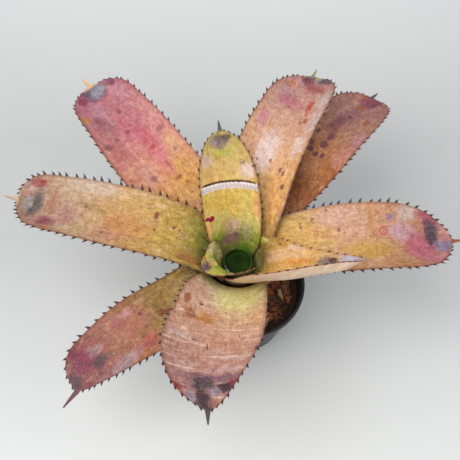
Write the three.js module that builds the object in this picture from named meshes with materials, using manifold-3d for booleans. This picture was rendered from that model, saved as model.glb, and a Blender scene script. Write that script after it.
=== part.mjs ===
// A bromeliad in a small nursery pot: stiff spiny strap leaves set in a spiral on a short stem,
// their sheaths nested into a cup that holds water.
// Millimetres, +Z up. The origin is the centre of the pot's base, on the surface it stands on.

import * as THREE from 'three';
import { mergeVertices } from 'three/addons/utils/BufferGeometryUtils.js';
import Module from 'manifold-3d';

const wasm = await Module();
wasm.setup();

// Clearance between pieces that touch.
const gap = 0.3;

const pot = {
  height: 90,
  rimRadius: 52.5,
  baseRadius: 36,
  wall: 1.2,
  floor: 1.8,
  lipHeight: 6,
  lipStep: 1.5,
  lipRound: 0.8,
  foot: 1.5,
  sides: 48,
  drainCount: 6,
  drainRadius: 4,
  drainCircle: 23,
  drainSides: 12,
};

// Bark potting mix. Its top is highest at the middle, with lumps, and chips of bark lie on it.
const mix = {
  top: 75,
  bottom: 2.4,
  crown: 3,
  lumps: 1.4,
  wallClearance: 0.5,
  rings: 5,
  sides: 32,
  seed: 11,
};

const chips = {
  count: 34,
  length: [7, 17],
  width: [4, 8],
  thick: [2, 3.6],
  narrowEnd: [0.55, 0.85],
  tilt: 20,
  innerReach: 29,
  wallClearance: 3,
  standOut: 0.3,
};

// The short stem, off the pot's middle. It narrows upwards by taper at each leaf.
const stem = {
  x: -9,
  y: 0,
  foot: 56,
  rootRadius: 14,
  rootBevel: 2,
  collar: 4,
  sides: 20,
  firstLeaf: 80,
  firstRadius: 16,
  leafStep: 3,
  taper: 1.1,
  tip: 3,
};

// The sheaths are nested cones. Each younger leaf's mouth is a layer narrower and a little higher.
const cup = {
  mouthHeight: 143,
  mouthRise: 1.2,
  mouthRadius: 39,
  layer: 2.1,
  bulge: 0.3,
  thick: 1.3,
  clasp: 1.5,
  rows: 4,
};

// What all blades share. The margin is thin, the end is bluntly round, and the spines lean
// towards the tip. spineFrom is where they begin, as a share of the blade past the cup.
const blade = {
  thick: 2,
  margin: 0.9,
  roundness: 2.4,
  spinePitch: 9,
  spineRoot: 0.45,
  spineHeight: 3.6,
  spineLean: 1.2,
  spineFrom: 0.12,
  tipRows: 2,
  tipHalfWidth: 2.1,
  tipPoint: 0.45,
  across: [-0.8, -0.42, 0, 0.42, 0.8],
};

// Oldest and outermost leaf first. Azimuth is in degrees from +X towards +Y, seen from above, and
// sway is how far the end is swung sideways from it. path lists [distance from the stem's axis,
// height] of the midrib past the cup, to the leaf's end. mouth, half and shoulder are half widths
// at the cup, in the middle and before the end. trough and tipTrough are the radii that the blade
// is rolled to, and roll turns it about its midrib. end is the length of the rounding, roundness
// its power, higher for a blunter end, and point is the length of the dried tip. leftRim and
// rightRim hold what differs on that side of the midrib, looking from the foot to the tip.
const leaves = [
  { age: 'old', azimuth: 56, sway: -19, path: [[70, 156], [130, 170], [205, 158]],
    mouth: 29, half: 25, shoulder: 24, trough: 60, tipTrough: 34, roll: 0, end: 38, point: 9,
    rightRim: { mouth: 21, half: 34, shoulder: 32 } },
  { age: 'old', azimuth: 220, sway: 4, path: [[66, 144], [118, 146], [182, 121]],
    mouth: 24, half: 28, shoulder: 28, trough: 60, tipTrough: 34, roll: 0, end: 28, point: 17,
    leftRim: { end: 80, roundness: 1.15 } },
  { age: 'ripe', azimuth: 2, sway: -6, path: [[70, 162], [120, 172], [178, 166]],
    mouth: 34, half: 32, shoulder: 28, trough: 60, tipTrough: 30, roll: 0, end: 44, roundness: 2, point: 8,
    rightRim: { mouth: 22, half: 30, shoulder: 31 } },
  { age: 'old', azimuth: 133, sway: -2, path: [[70, 168], [130, 188], [202, 188]],
    mouth: 32, half: 29, shoulder: 28, trough: 60, tipTrough: 40, roll: 0, end: 28, point: 12,
    leftRim: { half: 41, shoulder: 28 } },
  { age: 'ripe', azimuth: 252, sway: 28, path: [[58, 182], [102, 206], [152, 222]],
    mouth: 35, half: 38, shoulder: 26, trough: 70, tipTrough: 50, roll: 0, end: 62, roundness: 1.5, point: 9,
    rightRim: { mouth: 24, half: 30, shoulder: 48, end: 54, roundness: 2 } },
  { age: 'ripe', azimuth: 74, sway: -24, path: [[62, 178], [116, 192], [168, 192]],
    mouth: 28, half: 29, shoulder: 26, trough: 50, tipTrough: 28, roll: 0, end: 30, point: 8,
    rightRim: { shoulder: 34 } },
  { age: 'ripe', azimuth: 175, sway: -18, path: [[56, 177], [122, 189], [190, 180]],
    mouth: 27, half: 28, shoulder: 25, trough: 55, tipTrough: 30, roll: 0, end: 28, point: 12 },
  { age: 'young', azimuth: 311, sway: 48, path: [[42, 175], [64, 192], [90, 209]],
    mouth: 37, half: 24, shoulder: 12, trough: 32, tipTrough: 10, roll: -30, end: 20, point: 4,
    rightRim: { mouth: 33, half: 33, shoulder: 14 } },
  { age: 'young', azimuth: 101, sway: 0, path: [[36, 180], [60, 204], [85, 218]],
    mouth: 26, half: 25, shoulder: 21, trough: 40, tipTrough: 26, roll: 0, end: 36, roundness: 2, point: 8 },
  { age: 'young', azimuth: 218, sway: 0, path: [[24, 157], [31, 162], [38, 165]],
    mouth: 36, half: 18, shoulder: 16, trough: 20, tipTrough: 16, roll: 0, end: 17, point: 3,
    rightRim: { mouth: 24, half: 12, shoulder: 12 } },
];

// The youngest leaf, still rolled into a tube round the water at the heart of the cup.
// turn is how far it reaches each way from its azimuth, and slope how much lower its edge is there.
const innerRoll = {
  azimuth: 79,
  mouthRadius: 12.3,
  top: 133.5,
  turn: 150,
  slope: 1,
  thick: 1.2,
  steps: 20,
};

const water = { bottom: 118, top: 131, sides: 24 };

const looks = {
  pot: { color: 0x15171c, roughness: 0.42, metalness: 0 },
  mix: { color: 0x3a241a, roughness: 0.95, metalness: 0 },
  stem: { color: 0x6d5a34, roughness: 0.8, metalness: 0 },
  water: { color: 0x1d3a22, roughness: 0.08, metalness: 0 },
  old: { color: 0xb0675a, roughness: 0.5, metalness: 0 },
  ripe: { color: 0xc98f62, roughness: 0.5, metalness: 0 },
  young: { color: 0xb7b45a, roughness: 0.45, metalness: 0 },
};

const radians = THREE.MathUtils.degToRad;
const { clamp, lerp, smoothstep } = THREE.MathUtils;
const fullTurn = 2 * Math.PI;
const goldenAngle = Math.PI * (3 - Math.sqrt(5));

// A repeatable draw of numbers from 0 to 1, by a linear congruential rule.
function seededRandom(seed) {
  const [factor, increment, modulus] = [1664525, 1013904223, 2 ** 32];
  let state = seed;
  return () => {
    state = (state * factor + increment) % modulus;
    return state / modulus;
  };
}

function toSolid(geometry) {
  geometry.deleteAttribute('normal');
  geometry.deleteAttribute('uv');
  const merged = mergeVertices(geometry);
  return new wasm.Manifold(new wasm.Mesh({
    numProp: 3,
    vertProperties: new Float32Array(merged.attributes.position.array),
    triVerts: new Uint32Array(merged.index.array),
  }));
}

function toGeometry(solid) {
  const { vertProperties, triVerts } = solid.getMesh();
  const geometry = new THREE.BufferGeometry();
  geometry.setAttribute('position', new THREE.BufferAttribute(vertProperties, 3));
  geometry.setIndex(new THREE.BufferAttribute(triVerts, 1));
  return geometry;
}

function fromPoints(points, faces) {
  const geometry = new THREE.BufferGeometry();
  const coordinates = points.flatMap((point) => point.toArray());
  geometry.setAttribute('position', new THREE.Float32BufferAttribute(coordinates, 3));
  geometry.setIndex(faces.flat());
  return geometry;
}

// Turns a profile of [radius, height] about the vertical axis.
function turned(profile, sides) {
  const outline = profile.map(([radius, height]) => new THREE.Vector2(radius, height));
  return new THREE.LatheGeometry(outline, sides).rotateX(Math.PI / 2);
}

// An upright cylinder from bottom to top, to cut holes with.
function upright(radius, bottom, top, sides) {
  const cylinder = new THREE.CylinderGeometry(radius, radius, top - bottom, sides);
  return cylinder.rotateX(Math.PI / 2).translate(0, 0, (bottom + top) / 2);
}

function named(name, solid, look) {
  const geometry = toGeometry(solid);
  geometry.computeVertexNormals();
  const mesh = new THREE.Mesh(geometry, new THREE.MeshStandardMaterial(looks[look]));
  mesh.name = name;
  return mesh;
}

const potOuter = (height) => lerp(pot.baseRadius, pot.rimRadius - pot.lipStep, height / pot.height);
const potInner = (height) => potOuter(height) - pot.wall;

function makePot() {
  const lipBottom = pot.height - pot.lipHeight;
  let shell = toSolid(turned([
    [0, 0],
    [pot.baseRadius - pot.foot, 0],
    [potOuter(pot.foot), pot.foot],
    [potOuter(lipBottom), lipBottom],
    [pot.rimRadius - pot.lipRound / 2, lipBottom + pot.lipRound / 2],
    [pot.rimRadius, pot.height - pot.lipRound],
    [pot.rimRadius - pot.lipRound, pot.height],
    [potInner(pot.height), pot.height],
    [potInner(pot.floor), pot.floor],
    [0, pot.floor],
  ], pot.sides));
  for (let i = 0; i < pot.drainCount; i += 1) {
    const angle = (i + 0.5) / pot.drainCount * fullTurn;
    const hole = upright(pot.drainRadius, -pot.floor, 2 * pot.floor, pot.drainSides);
    hole.translate(pot.drainCircle * Math.cos(angle), pot.drainCircle * Math.sin(angle), 0);
    shell = shell.subtract(toSolid(hole));
  }
  return named('pot', shell, 'pot');
}

const leafFoot = (index) => stem.firstLeaf + stem.leafStep * index;
const stemRadius = (height) => stem.firstRadius - stem.taper * (height - stem.firstLeaf) / stem.leafStep;
const footRadius = (index) => stemRadius(leafFoot(index)) + gap / Math.cos(Math.PI / stem.sides);

function makeStem() {
  const top = leafFoot(leaves.length) + stem.tip;
  const profile = [
    [0, stem.foot],
    [stem.rootRadius - stem.rootBevel, stem.foot],
    [stem.rootRadius, stem.foot + stem.rootBevel],
    [stem.firstRadius, stem.firstLeaf - stem.collar],
    [stemRadius(top), top],
    [0, top],
  ];
  return named('stem', toSolid(turned(profile, stem.sides).translate(stem.x, stem.y, 0)), 'stem');
}

// The height of the mix at a share of the way from its middle to the pot's wall.
const mixHeight = (share) => mix.top + mix.crown * (1 - share * share);

// A plug that fits the pot, with a lumpy top.
function mixPlug(random) {
  const points = [new THREE.Vector3(0, 0, mix.bottom)];
  const faces = [];
  const addRing = (radius, lump) => {
    const start = points.length;
    for (let j = 0; j < mix.sides; j += 1) {
      const angle = j / mix.sides * fullTurn;
      points.push(new THREE.Vector3(radius * Math.cos(angle), radius * Math.sin(angle), lump()));
    }
    return start;
  };
  const join = (lower, upper) => {
    for (let j = 0; j < mix.sides; j += 1) {
      const next = (j + 1) % mix.sides;
      faces.push([lower + j, lower + next, upper + next], [lower + j, upper + next, upper + j]);
    }
  };
  const close = (ring, centre, upwards) => {
    for (let j = 0; j < mix.sides; j += 1) {
      const next = (j + 1) % mix.sides;
      faces.push(upwards ? [ring + j, ring + next, centre] : [centre, ring + next, ring + j]);
    }
  };
  const foot = addRing(potInner(mix.bottom) - mix.wallClearance, () => mix.bottom);
  close(foot, 0, false);
  const reach = potInner(mix.top) - mix.wallClearance;
  let ring = addRing(reach, () => mix.top);
  join(foot, ring);
  for (let i = 1; i < mix.rings; i += 1) {
    const share = 1 - i / mix.rings;
    const inner = addRing(share * reach, () => mixHeight(share) + mix.lumps * lerp(-1, 1, random()));
    join(ring, inner);
    ring = inner;
  }
  points.push(new THREE.Vector3(0, 0, mixHeight(0)));
  close(ring, points.length - 1, true);
  return toSolid(fromPoints(points, faces));
}

// One bark chip: a flat wedge, tilted, at the place that a spiral gives the i-th of them.
function barkChip(i, random) {
  const between = ([low, high]) => lerp(low, high, random());
  const length = between(chips.length);
  const chip = new THREE.BoxGeometry(length, between(chips.width), between(chips.thick));
  const narrow = between(chips.narrowEnd);
  const corners = chip.attributes.position;
  for (let p = 0; p < corners.count; p += 1) {
    if (corners.getX(p) > 0) corners.setY(p, corners.getY(p) * narrow);
  }
  const tilt = () => radians(chips.tilt) * lerp(-1, 1, random());
  chip.rotateX(tilt()).rotateY(tilt()).rotateZ(fullTurn * random());
  const reach = potInner(mix.top) - chips.wallClearance - length / 2;
  const radius = lerp(chips.innerReach, reach, Math.sqrt(random()));
  const share = radius / potInner(mix.top);
  return chip.translate(
    stem.x * (1 - share) + radius * Math.cos(i * goldenAngle),
    stem.y * (1 - share) + radius * Math.sin(i * goldenAngle),
    mixHeight(share) + chips.standOut,
  );
}

// The mix fills the pot, with the chips sunk into it and a plain hole for the foot of the stem.
function makeMix() {
  const random = seededRandom(mix.seed);
  let solid = mixPlug(random);
  for (let i = 0; i < chips.count; i += 1) {
    solid = solid.add(toSolid(barkChip(i, random)));
  }
  const holeRadius = stem.firstRadius + 2 * gap;
  const hole = upright(holeRadius, stem.foot - gap, leafFoot(1), stem.sides);
  solid = solid.subtract(toSolid(hole.translate(stem.x, stem.y, 0)));
  const [whole] = solid.decompose().sort((a, b) => b.volume() - a.volume());
  return named('potting_mix', whole, 'mix');
}

const mouthRadius = (index) => cup.mouthRadius - cup.layer * index;
const mouthHeight = (index) => cup.mouthHeight + cup.mouthRise * index;

// The midrib of a leaf, in the upright plane through the stem's axis: up the cone, then outwards.
function midribOf(leaf, index) {
  const rise = mouthRadius(index) - footRadius(index);
  const cone = [0, 0.25, 0.5, 0.75, 1].map((share) => [
    footRadius(index) + rise * (share + cup.bulge * share * (1 - share)),
    lerp(leafFoot(index), mouthHeight(index), share),
  ]);
  const places = [...cone, ...leaf.path];
  return new THREE.SplineCurve(places.map(([radius, height]) => new THREE.Vector2(radius, height)));
}

// How far along the midrib the cup's mouth lies, as a share of the whole length.
function mouthShare(midrib, index) {
  const step = 0.002;
  let share = 0;
  while (midrib.getPointAt(share).x < mouthRadius(index)) {
    share += step;
  }
  return share;
}

// The form of a leaf, in shares: u along the midrib from foot to tip, q across from -1 to 1.
function leafShape(leaf, index) {
  const midrib = midribOf(leaf, index);
  const length = midrib.getLength();
  const mouth = mouthShare(midrib, index);
  const pastMouth = (u) => clamp((u - mouth) / (1 - mouth), 0, 1);

  const halfWidth = (u, side) => {
    const left = (1 - u) * length;
    const spike = lerp(blade.tipPoint, blade.tipHalfWidth, clamp(left / leaf.point, 0, 1));
    if (left <= leaf.point) return spike;
    const rim = { ...leaf, ...(side > 0 ? leaf.leftRim : leaf.rightRim) };
    const v = pastMouth(u);
    const sheath = lerp(cup.clasp * footRadius(index), rim.mouth, smoothstep(u, 0, mouth));
    const middle = lerp(rim.mouth, rim.half, smoothstep(v, 0, 0.45));
    const strap = lerp(middle, rim.shoulder, smoothstep(v, 0.4, 1));
    const rounding = Math.max(0, 1 - (left - leaf.point) / rim.end);
    const power = rim.roundness ?? blade.roundness;
    const blunt = (1 - rounding ** power) ** (1 / power);
    return Math.max(spike, (u < mouth ? sheath : strap) * blunt);
  };

  const thick = (u, q) => {
    const body = lerp(cup.thick, blade.thick, smoothstep(pastMouth(u), 0, 0.3));
    const slim = lerp(body, blade.margin, smoothstep(pastMouth(u), 0.8, 1));
    return lerp(slim, blade.margin, q * q);
  };

  // A point on the upper face. In the cup it lies on a level ring about the stem's axis, and
  // past the cup this eases into an arc square to the midrib.
  const face = (u, q) => {
    const centre = midrib.getPointAt(u);
    const heading = midrib.getTangentAt(u);
    const reach = q * halfWidth(u, q);
    const v = pastMouth(u);
    const radius = lerp(leaf.trough, leaf.tipTrough, smoothstep(v, 0.45, 1));
    const bend = reach / radius;
    const arc = new THREE.Vector2(Math.sin(bend), 1 - Math.cos(bend)).multiplyScalar(radius);
    arc.rotateAround(new THREE.Vector2(), radians(leaf.roll) * v * v);
    const turn = reach / centre.x;
    const ring = new THREE.Vector3(centre.x * Math.cos(turn), centre.x * Math.sin(turn), centre.y);
    const strap = new THREE.Vector3(centre.x - heading.y * arc.y, arc.x, centre.y + heading.x * arc.y);
    const point = ring.lerp(strap, smoothstep(v, 0, 0.4));
    point.y += leaf.sway * v * v;
    return point.applyAxisAngle(new THREE.Vector3(0, 0, 1), radians(leaf.azimuth));
  };

  const normal = (u, q) => {
    const [along, across] = [0.004, 0.05];
    const ahead = face(Math.min(1, u + along), q).sub(face(Math.max(0, u - along), q));
    const sideways = face(u, Math.min(1, q + across)).sub(face(u, Math.max(-1, q - across)));
    return ahead.cross(sideways).normalize();
  };

  // The way a spine on the margin points: outwards in the blade's plane, leaning to the tip.
  const spineAt = (u, q) => {
    const out = face(u, q).sub(face(u, 0.9 * q)).setLength(blade.spineHeight);
    const ahead = face(Math.min(1, u + 0.01), q).sub(face(u, q)).setLength(blade.spineLean);
    return out.add(ahead);
  };

  return { face, normal, thick, spineAt, mouth, tip: 1 - leaf.point / length };
}

// Rows of a leaf as shares of its length. Past the first spine, rows stand a spine's pitch apart,
// measured along the longer margin, so that they crowd together round the blunt end.
function rowsOf(shape) {
  const marginStep = (from, to, q) => shape.face(to, q).distanceTo(shape.face(from, q));
  const first = lerp(shape.mouth, 1, blade.spineFrom);
  const samples = 240;
  const places = [first];
  const run = [0];
  for (let i = 1; i <= samples; i += 1) {
    places.push(lerp(first, shape.tip, i / samples));
    const [from, to] = places.slice(-2);
    run.push(run[i - 1] + Math.max(marginStep(from, to, -1), marginStep(from, to, 1)));
  }
  const shareAt = (distance) => {
    const i = clamp(run.findIndex((value) => value >= distance), 1, samples);
    return lerp(places[i - 1], places[i], (distance - run[i - 1]) / (run[i] - run[i - 1]));
  };
  const count = Math.round(run[samples] / blade.spinePitch);
  const pitch = run[samples] / count;
  const plain = (from, to, steps) => (
    Array.from({ length: steps }, (_, i) => ({ u: lerp(from, to, i / steps) }))
  );
  const spiny = Array.from({ length: count }, (_, i) => ({
    u: shareAt(pitch * i),
    spine: shareAt(pitch * (i + 1 - blade.spineRoot)),
  }));
  return [...plain(0, first, cup.rows), ...spiny, ...plain(shape.tip, 1, blade.tipRows), { u: 1 }];
}

// A leaf as one closed body. Both faces are split into triangles alike, and the strip between
// them at the margin is raised to a pyramid wherever a spine stands.
function makeLeaf(leaf, index) {
  const shape = leafShape(leaf, index);
  const points = [];
  const faces = [];

  const place = (u, q) => {
    const upper = shape.face(u, q);
    const under = upper.clone().addScaledVector(shape.normal(u, q), -shape.thick(u, q));
    points.push(upper, under);
    return { upper: points.length - 2, under: points.length - 1 };
  };
  const tile = (a, b, c) => {
    faces.push([a.upper, b.upper, c.upper], [a.under, c.under, b.under]);
  };
  const quad = (a, b, c, d) => {
    tile(a, b, c);
    tile(a, c, d);
  };
  const wall = (a, b) => {
    faces.push([b.upper, a.upper, a.under], [b.upper, a.under, b.under]);
  };
  const spine = (a, b, pointing) => {
    const loop = [b.upper, a.upper, a.under, b.under];
    const apex = pointing.clone();
    loop.forEach((corner) => apex.addScaledVector(points[corner], 1 / loop.length));
    points.push(apex);
    loop.forEach((corner, i) => faces.push([corner, loop[(i + 1) % loop.length], points.length - 1]));
  };

  const rows = rowsOf(shape).map((row) => ({
    ...row,
    right: place(row.u, -1),
    inner: blade.across.map((q) => place(row.u, q)),
    left: place(row.u, 1),
  }));
  const end = blade.across.length - 1;

  rows.slice(0, -1).forEach((row, i) => {
    const next = rows[i + 1];
    for (let j = 0; j < end; j += 1) {
      quad(row.inner[j], next.inner[j], next.inner[j + 1], row.inner[j + 1]);
    }
    if (row.spine === undefined) {
      quad(row.right, next.right, next.inner[0], row.inner[0]);
      quad(row.inner[end], next.inner[end], next.left, row.left);
      wall(row.right, next.right);
      wall(next.left, row.left);
      return;
    }
    const right = place(row.spine, -1);
    const left = place(row.spine, 1);
    quad(row.right, right, next.inner[0], row.inner[0]);
    tile(right, next.right, next.inner[0]);
    quad(left, row.left, row.inner[end], next.inner[end]);
    tile(next.left, left, next.inner[end]);
    wall(row.right, right);
    wall(left, row.left);
    spine(right, next.right, shape.spineAt(row.spine, -1));
    spine(next.left, left, shape.spineAt(row.spine, 1));
  });

  const line = (row) => [row.right, ...row.inner, row.left];
  const foot = line(rows[0]);
  const tip = line(rows[rows.length - 1]);
  for (let j = 0; j + 1 < foot.length; j += 1) {
    wall(foot[j + 1], foot[j]);
    wall(tip[j], tip[j + 1]);
  }
  const name = `leaf_${String(index + 1).padStart(2, '0')}`;
  return named(name, toSolid(fromPoints(points, faces).translate(stem.x, stem.y, 0)), leaf.age);
}

// The radius of the inner roll at a share of its height.
function rollRadius(level) {
  return lerp(footRadius(leaves.length), innerRoll.mouthRadius, level + cup.bulge * level * (1 - level));
}

function makeInnerRoll() {
  const points = [];
  const faces = [];
  const levels = [0, 0.35, 0.7, 1];
  for (const level of levels) {
    for (let j = 0; j <= innerRoll.steps; j += 1) {
      const turn = lerp(-1, 1, j / innerRoll.steps);
      const top = innerRoll.top - innerRoll.slope * turn * turn;
      const height = lerp(leafFoot(leaves.length), top, level);
      const angle = radians(innerRoll.azimuth + innerRoll.turn * turn);
      for (const radius of [rollRadius(level), rollRadius(level) + innerRoll.thick]) {
        points.push(new THREE.Vector3(radius * Math.cos(angle), radius * Math.sin(angle), height));
      }
    }
  }
  const inside = (level, j) => 2 * (level * (innerRoll.steps + 1) + j);
  const outside = (level, j) => inside(level, j) + 1;
  const quad = (a, b, c, d) => faces.push([a, b, c], [a, c, d]);
  const top = levels.length - 1;
  const last = innerRoll.steps;
  for (let j = 0; j < last; j += 1) {
    for (let i = 0; i < top; i += 1) {
      quad(inside(i, j), inside(i + 1, j), inside(i + 1, j + 1), inside(i, j + 1));
      quad(outside(i, j), outside(i, j + 1), outside(i + 1, j + 1), outside(i + 1, j));
    }
    quad(inside(0, j), inside(0, j + 1), outside(0, j + 1), outside(0, j));
    quad(inside(top, j), outside(top, j), outside(top, j + 1), inside(top, j + 1));
  }
  for (let i = 0; i < top; i += 1) {
    quad(inside(i, 0), outside(i, 0), outside(i + 1, 0), inside(i + 1, 0));
    quad(inside(i, last), inside(i + 1, last), outside(i + 1, last), outside(i, last));
  }
  const solid = toSolid(fromPoints(points, faces).translate(stem.x, stem.y, 0));
  return named('inner_leaf', solid, 'young');
}

function makeWater() {
  const radiusAt = (height) => {
    const level = (height - leafFoot(leaves.length)) / (innerRoll.top - leafFoot(leaves.length));
    return lerp(footRadius(leaves.length), innerRoll.mouthRadius, level) - gap;
  };
  const geometry = turned([
    [0, water.bottom],
    [radiusAt(water.bottom), water.bottom],
    [radiusAt(water.top), water.top],
    [0, water.top],
  ], water.sides);
  return named('tank_water', toSolid(geometry.translate(stem.x, stem.y, 0)), 'water');
}

const plant = new THREE.Group();
plant.add(makeStem(), ...leaves.map(makeLeaf), makeInnerRoll(), makeWater());

const potted = new THREE.Group();
potted.add(makePot(), makeMix(), plant);

export default potted;
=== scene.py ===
import bpy, math, random
import numpy as np
from mathutils import Matrix, Vector, noise


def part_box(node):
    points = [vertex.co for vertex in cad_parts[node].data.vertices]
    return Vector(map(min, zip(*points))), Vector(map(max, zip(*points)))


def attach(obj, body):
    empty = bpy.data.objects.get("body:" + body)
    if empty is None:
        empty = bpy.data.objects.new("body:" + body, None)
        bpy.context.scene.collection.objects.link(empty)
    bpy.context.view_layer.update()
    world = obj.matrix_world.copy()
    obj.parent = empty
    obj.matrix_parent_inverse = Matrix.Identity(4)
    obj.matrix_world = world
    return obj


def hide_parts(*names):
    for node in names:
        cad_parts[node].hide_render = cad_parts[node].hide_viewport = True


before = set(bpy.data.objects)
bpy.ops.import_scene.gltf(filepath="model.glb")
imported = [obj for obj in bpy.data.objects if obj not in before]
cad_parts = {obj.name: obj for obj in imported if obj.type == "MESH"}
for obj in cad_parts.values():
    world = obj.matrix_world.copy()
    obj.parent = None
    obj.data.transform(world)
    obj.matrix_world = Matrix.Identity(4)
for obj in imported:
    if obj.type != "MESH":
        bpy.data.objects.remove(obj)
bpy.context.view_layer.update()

mm = 0.001
scene = bpy.context.scene
scene.view_settings.view_transform = "Standard"   # plain colours, so that a tint reads as it is typed


# small helpers

def lerp(a, b, t):
    return a + (b - a) * t

def clamp(x, low=0.0, high=1.0):
    return max(low, min(high, x))

def smooth(x, low, high):
    t = clamp((x - low) / (high - low))
    return t * t * (3 - 2 * t)

def tint(code, tone=(1, 1, 1)):
    # a screen colour such as "c88060" as the linear colour that shaders want, scaled by a tone
    parts = [int(code[i:i + 2], 16) / 255 for i in (0, 2, 4)]
    linear = [((p + 0.055) / 1.055) ** 2.4 if p > 0.04045 else p / 12.92 for p in parts]
    return tuple(min(1.0, p * t) for p, t in zip(linear, tone)) + (1.0,)

def clearSelection():
    if bpy.context.object and bpy.context.object.mode != "OBJECT":
        bpy.ops.object.mode_set(mode="OBJECT")
    bpy.ops.object.select_all(action="DESELECT")

def nameIt(name):
    piece = bpy.context.object
    piece.name = piece.data.name = name
    return piece

def useOnly(piece):
    clearSelection()
    piece.select_set(True)
    bpy.context.view_layer.objects.active = piece

def settle(piece):
    # bakes the place into the mesh, so the object sits at the origin
    useOnly(piece)
    bpy.ops.object.transform_apply(location=True, rotation=True, scale=True)

def applyAll(piece):
    useOnly(piece)
    for modifier in list(piece.modifiers):
        bpy.ops.object.modifier_apply(modifier=modifier.name)

def softEdges(piece, angle=35):
    useOnly(piece)
    bpy.ops.object.shade_smooth_by_angle(angle=math.radians(angle))

def faceOutwards(piece):
    useOnly(piece)
    bpy.ops.object.mode_set(mode="EDIT")
    bpy.ops.mesh.select_all(action="SELECT")
    bpy.ops.mesh.remove_doubles(threshold=1e-6)
    bpy.ops.mesh.normals_make_consistent(inside=False)
    bpy.ops.object.mode_set(mode="OBJECT")

def joinAs(name, parts):
    clearSelection()
    for part in parts:
        part.select_set(True)
    bpy.context.view_layer.objects.active = parts[0]
    bpy.ops.object.join()
    return nameIt(name)

def addPiece(name, mesh):
    piece = bpy.data.objects.new(name, mesh)
    scene.collection.objects.link(piece)
    return piece

def ringPiece(name, profile, sides, centre=(0, 0)):
    # a closed turned shape, ring after ring: each step extrudes the last ring and resizes it
    clearSelection()
    middle = [c * mm for c in centre]
    radius, height = profile[0]
    bpy.ops.mesh.primitive_circle_add(vertices=sides, radius=radius * mm, fill_type="NOTHING",
                                      location=(*middle, height * mm))
    piece = nameIt(name)
    settle(piece)
    bpy.ops.object.mode_set(mode="EDIT")
    bpy.ops.mesh.select_all(action="SELECT")
    bpy.ops.mesh.edge_face_add()
    bpy.ops.mesh.select_all(action="SELECT")
    first = True
    for nextRadius, nextHeight in profile[1:]:
        if first:
            bpy.ops.mesh.extrude_region_move()
        else:
            bpy.ops.mesh.extrude_edges_move()
        first = False
        bpy.ops.transform.translate(value=(0, 0, (nextHeight - height) * mm))
        share = nextRadius / radius
        bpy.ops.transform.resize(value=(share, share, 1), center_override=(*middle, nextHeight * mm))
        radius, height = nextRadius, nextHeight
        bpy.ops.mesh.select_mode(type="EDGE")
    bpy.ops.mesh.edge_face_add()
    bpy.ops.object.mode_set(mode="OBJECT")
    faceOutwards(piece)
    return piece


# camera: the photograph is 460 px square

eye = {"place": (-0.0157, -0.2321, 0.6274), "tilt": 28, "lens": 50.09, "sensor": 36, "imageSide": 460}

bpy.ops.object.camera_add(location=eye["place"], rotation=(math.radians(eye["tilt"]), 0, 0))
camera = bpy.context.object
camera.data.lens = eye["lens"]
camera.data.sensor_width = eye["sensor"]
scene.camera = camera
eyeTurn = Matrix.Rotation(math.radians(eye["tilt"]), 3, "X")
eyeRight, eyeUp, eyeBack = eyeTurn.col[0], eyeTurn.col[1], eyeTurn.col[2]
pixelsPerUnit = eye["lens"] / eye["sensor"] * eye["imageSide"]

def seenAt(point):
    # where the camera sees a point, in pixels from the top left
    ray = Vector(point) - Vector(eye["place"])
    depth = -ray.dot(eyeBack)
    half = eye["imageSide"] / 2
    return (half + pixelsPerUnit * ray.dot(eyeRight) / depth,
            half - pixelsPerUnit * ray.dot(eyeUp) / depth)

print("camera stands")


# shader helpers

def addNode(tree, kind, **settings):
    node = tree.nodes.new(kind)
    for key, value in settings.items():
        setattr(node, key, value)
    return node

def plug(tree, node, values):
    # fills a node's sockets, each from another node or with a value of its own
    for key, value in values.items():
        if isinstance(value, bpy.types.NodeSocket):
            tree.links.new(value, node.inputs[key])
        else:
            node.inputs[key].default_value = value
    return node.outputs

def newMaterial(name, onLeaf=False):
    # comes with the coordinates it is laid on: a leaf's own, or else the object's
    material = bpy.data.materials.new(name)
    material.use_nodes = True
    tree = material.node_tree
    if onLeaf:
        coords = addNode(tree, "ShaderNodeUVMap", uv_map="blade").outputs[0]
    else:
        coords = addNode(tree, "ShaderNodeTexCoord").outputs["Object"]
    return material, tree, tree.nodes["Principled BSDF"], coords

def mixIn(tree, factor, under, over, blend="MIX"):
    # lays one colour over another
    node = addNode(tree, "ShaderNodeMix", data_type="RGBA", blend_type=blend)
    return plug(tree, node, {0: factor, 6: under, 7: over})[2]

def ranged(tree, value, low, high, to=(0, 1), curve="SMOOTHSTEP"):
    node = addNode(tree, "ShaderNodeMapRange", interpolation_type=curve)
    return plug(tree, node, {0: value, 1: low, 2: high, 3: to[0], 4: to[1]})[0]

def maths(tree, action, *values):
    return plug(tree, addNode(tree, "ShaderNodeMath", operation=action), dict(enumerate(values)))[0]

def splitOf(tree, vector):
    return plug(tree, addNode(tree, "ShaderNodeSeparateXYZ"), {0: vector})

def noiseOf(tree, vector, scale, detail=3, rough=0.55, stretch=(1, 1, 1), output="Fac"):
    mapped = plug(tree, addNode(tree, "ShaderNodeMapping"), {"Vector": vector, "Scale": stretch})[0]
    node = addNode(tree, "ShaderNodeTexNoise")
    return plug(tree, node, {"Vector": mapped, "Scale": scale, "Detail": detail, "Roughness": rough})[output]

def rampOf(tree, value, stops, tone=(1, 1, 1)):
    node = addNode(tree, "ShaderNodeValToRGB")
    elements = node.color_ramp.elements
    for k, (place, code) in enumerate(stops):
        element = elements[k] if k < 2 else elements.new(place)
        element.position, element.color = place, tint(code, tone)
    return plug(tree, node, {0: value})[0]

def bumpFrom(tree, shader, heights):
    # bumps one over another: socket, strength, distance
    below = {}
    for height, strength, distance in heights:
        node = addNode(tree, "ShaderNodeBump")
        lifted = plug(tree, node, {"Height": height, "Strength": strength, "Distance": distance, **below})
        below = {"Normal": lifted[0]}
    plug(tree, shader, below)


# the leaves

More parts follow.
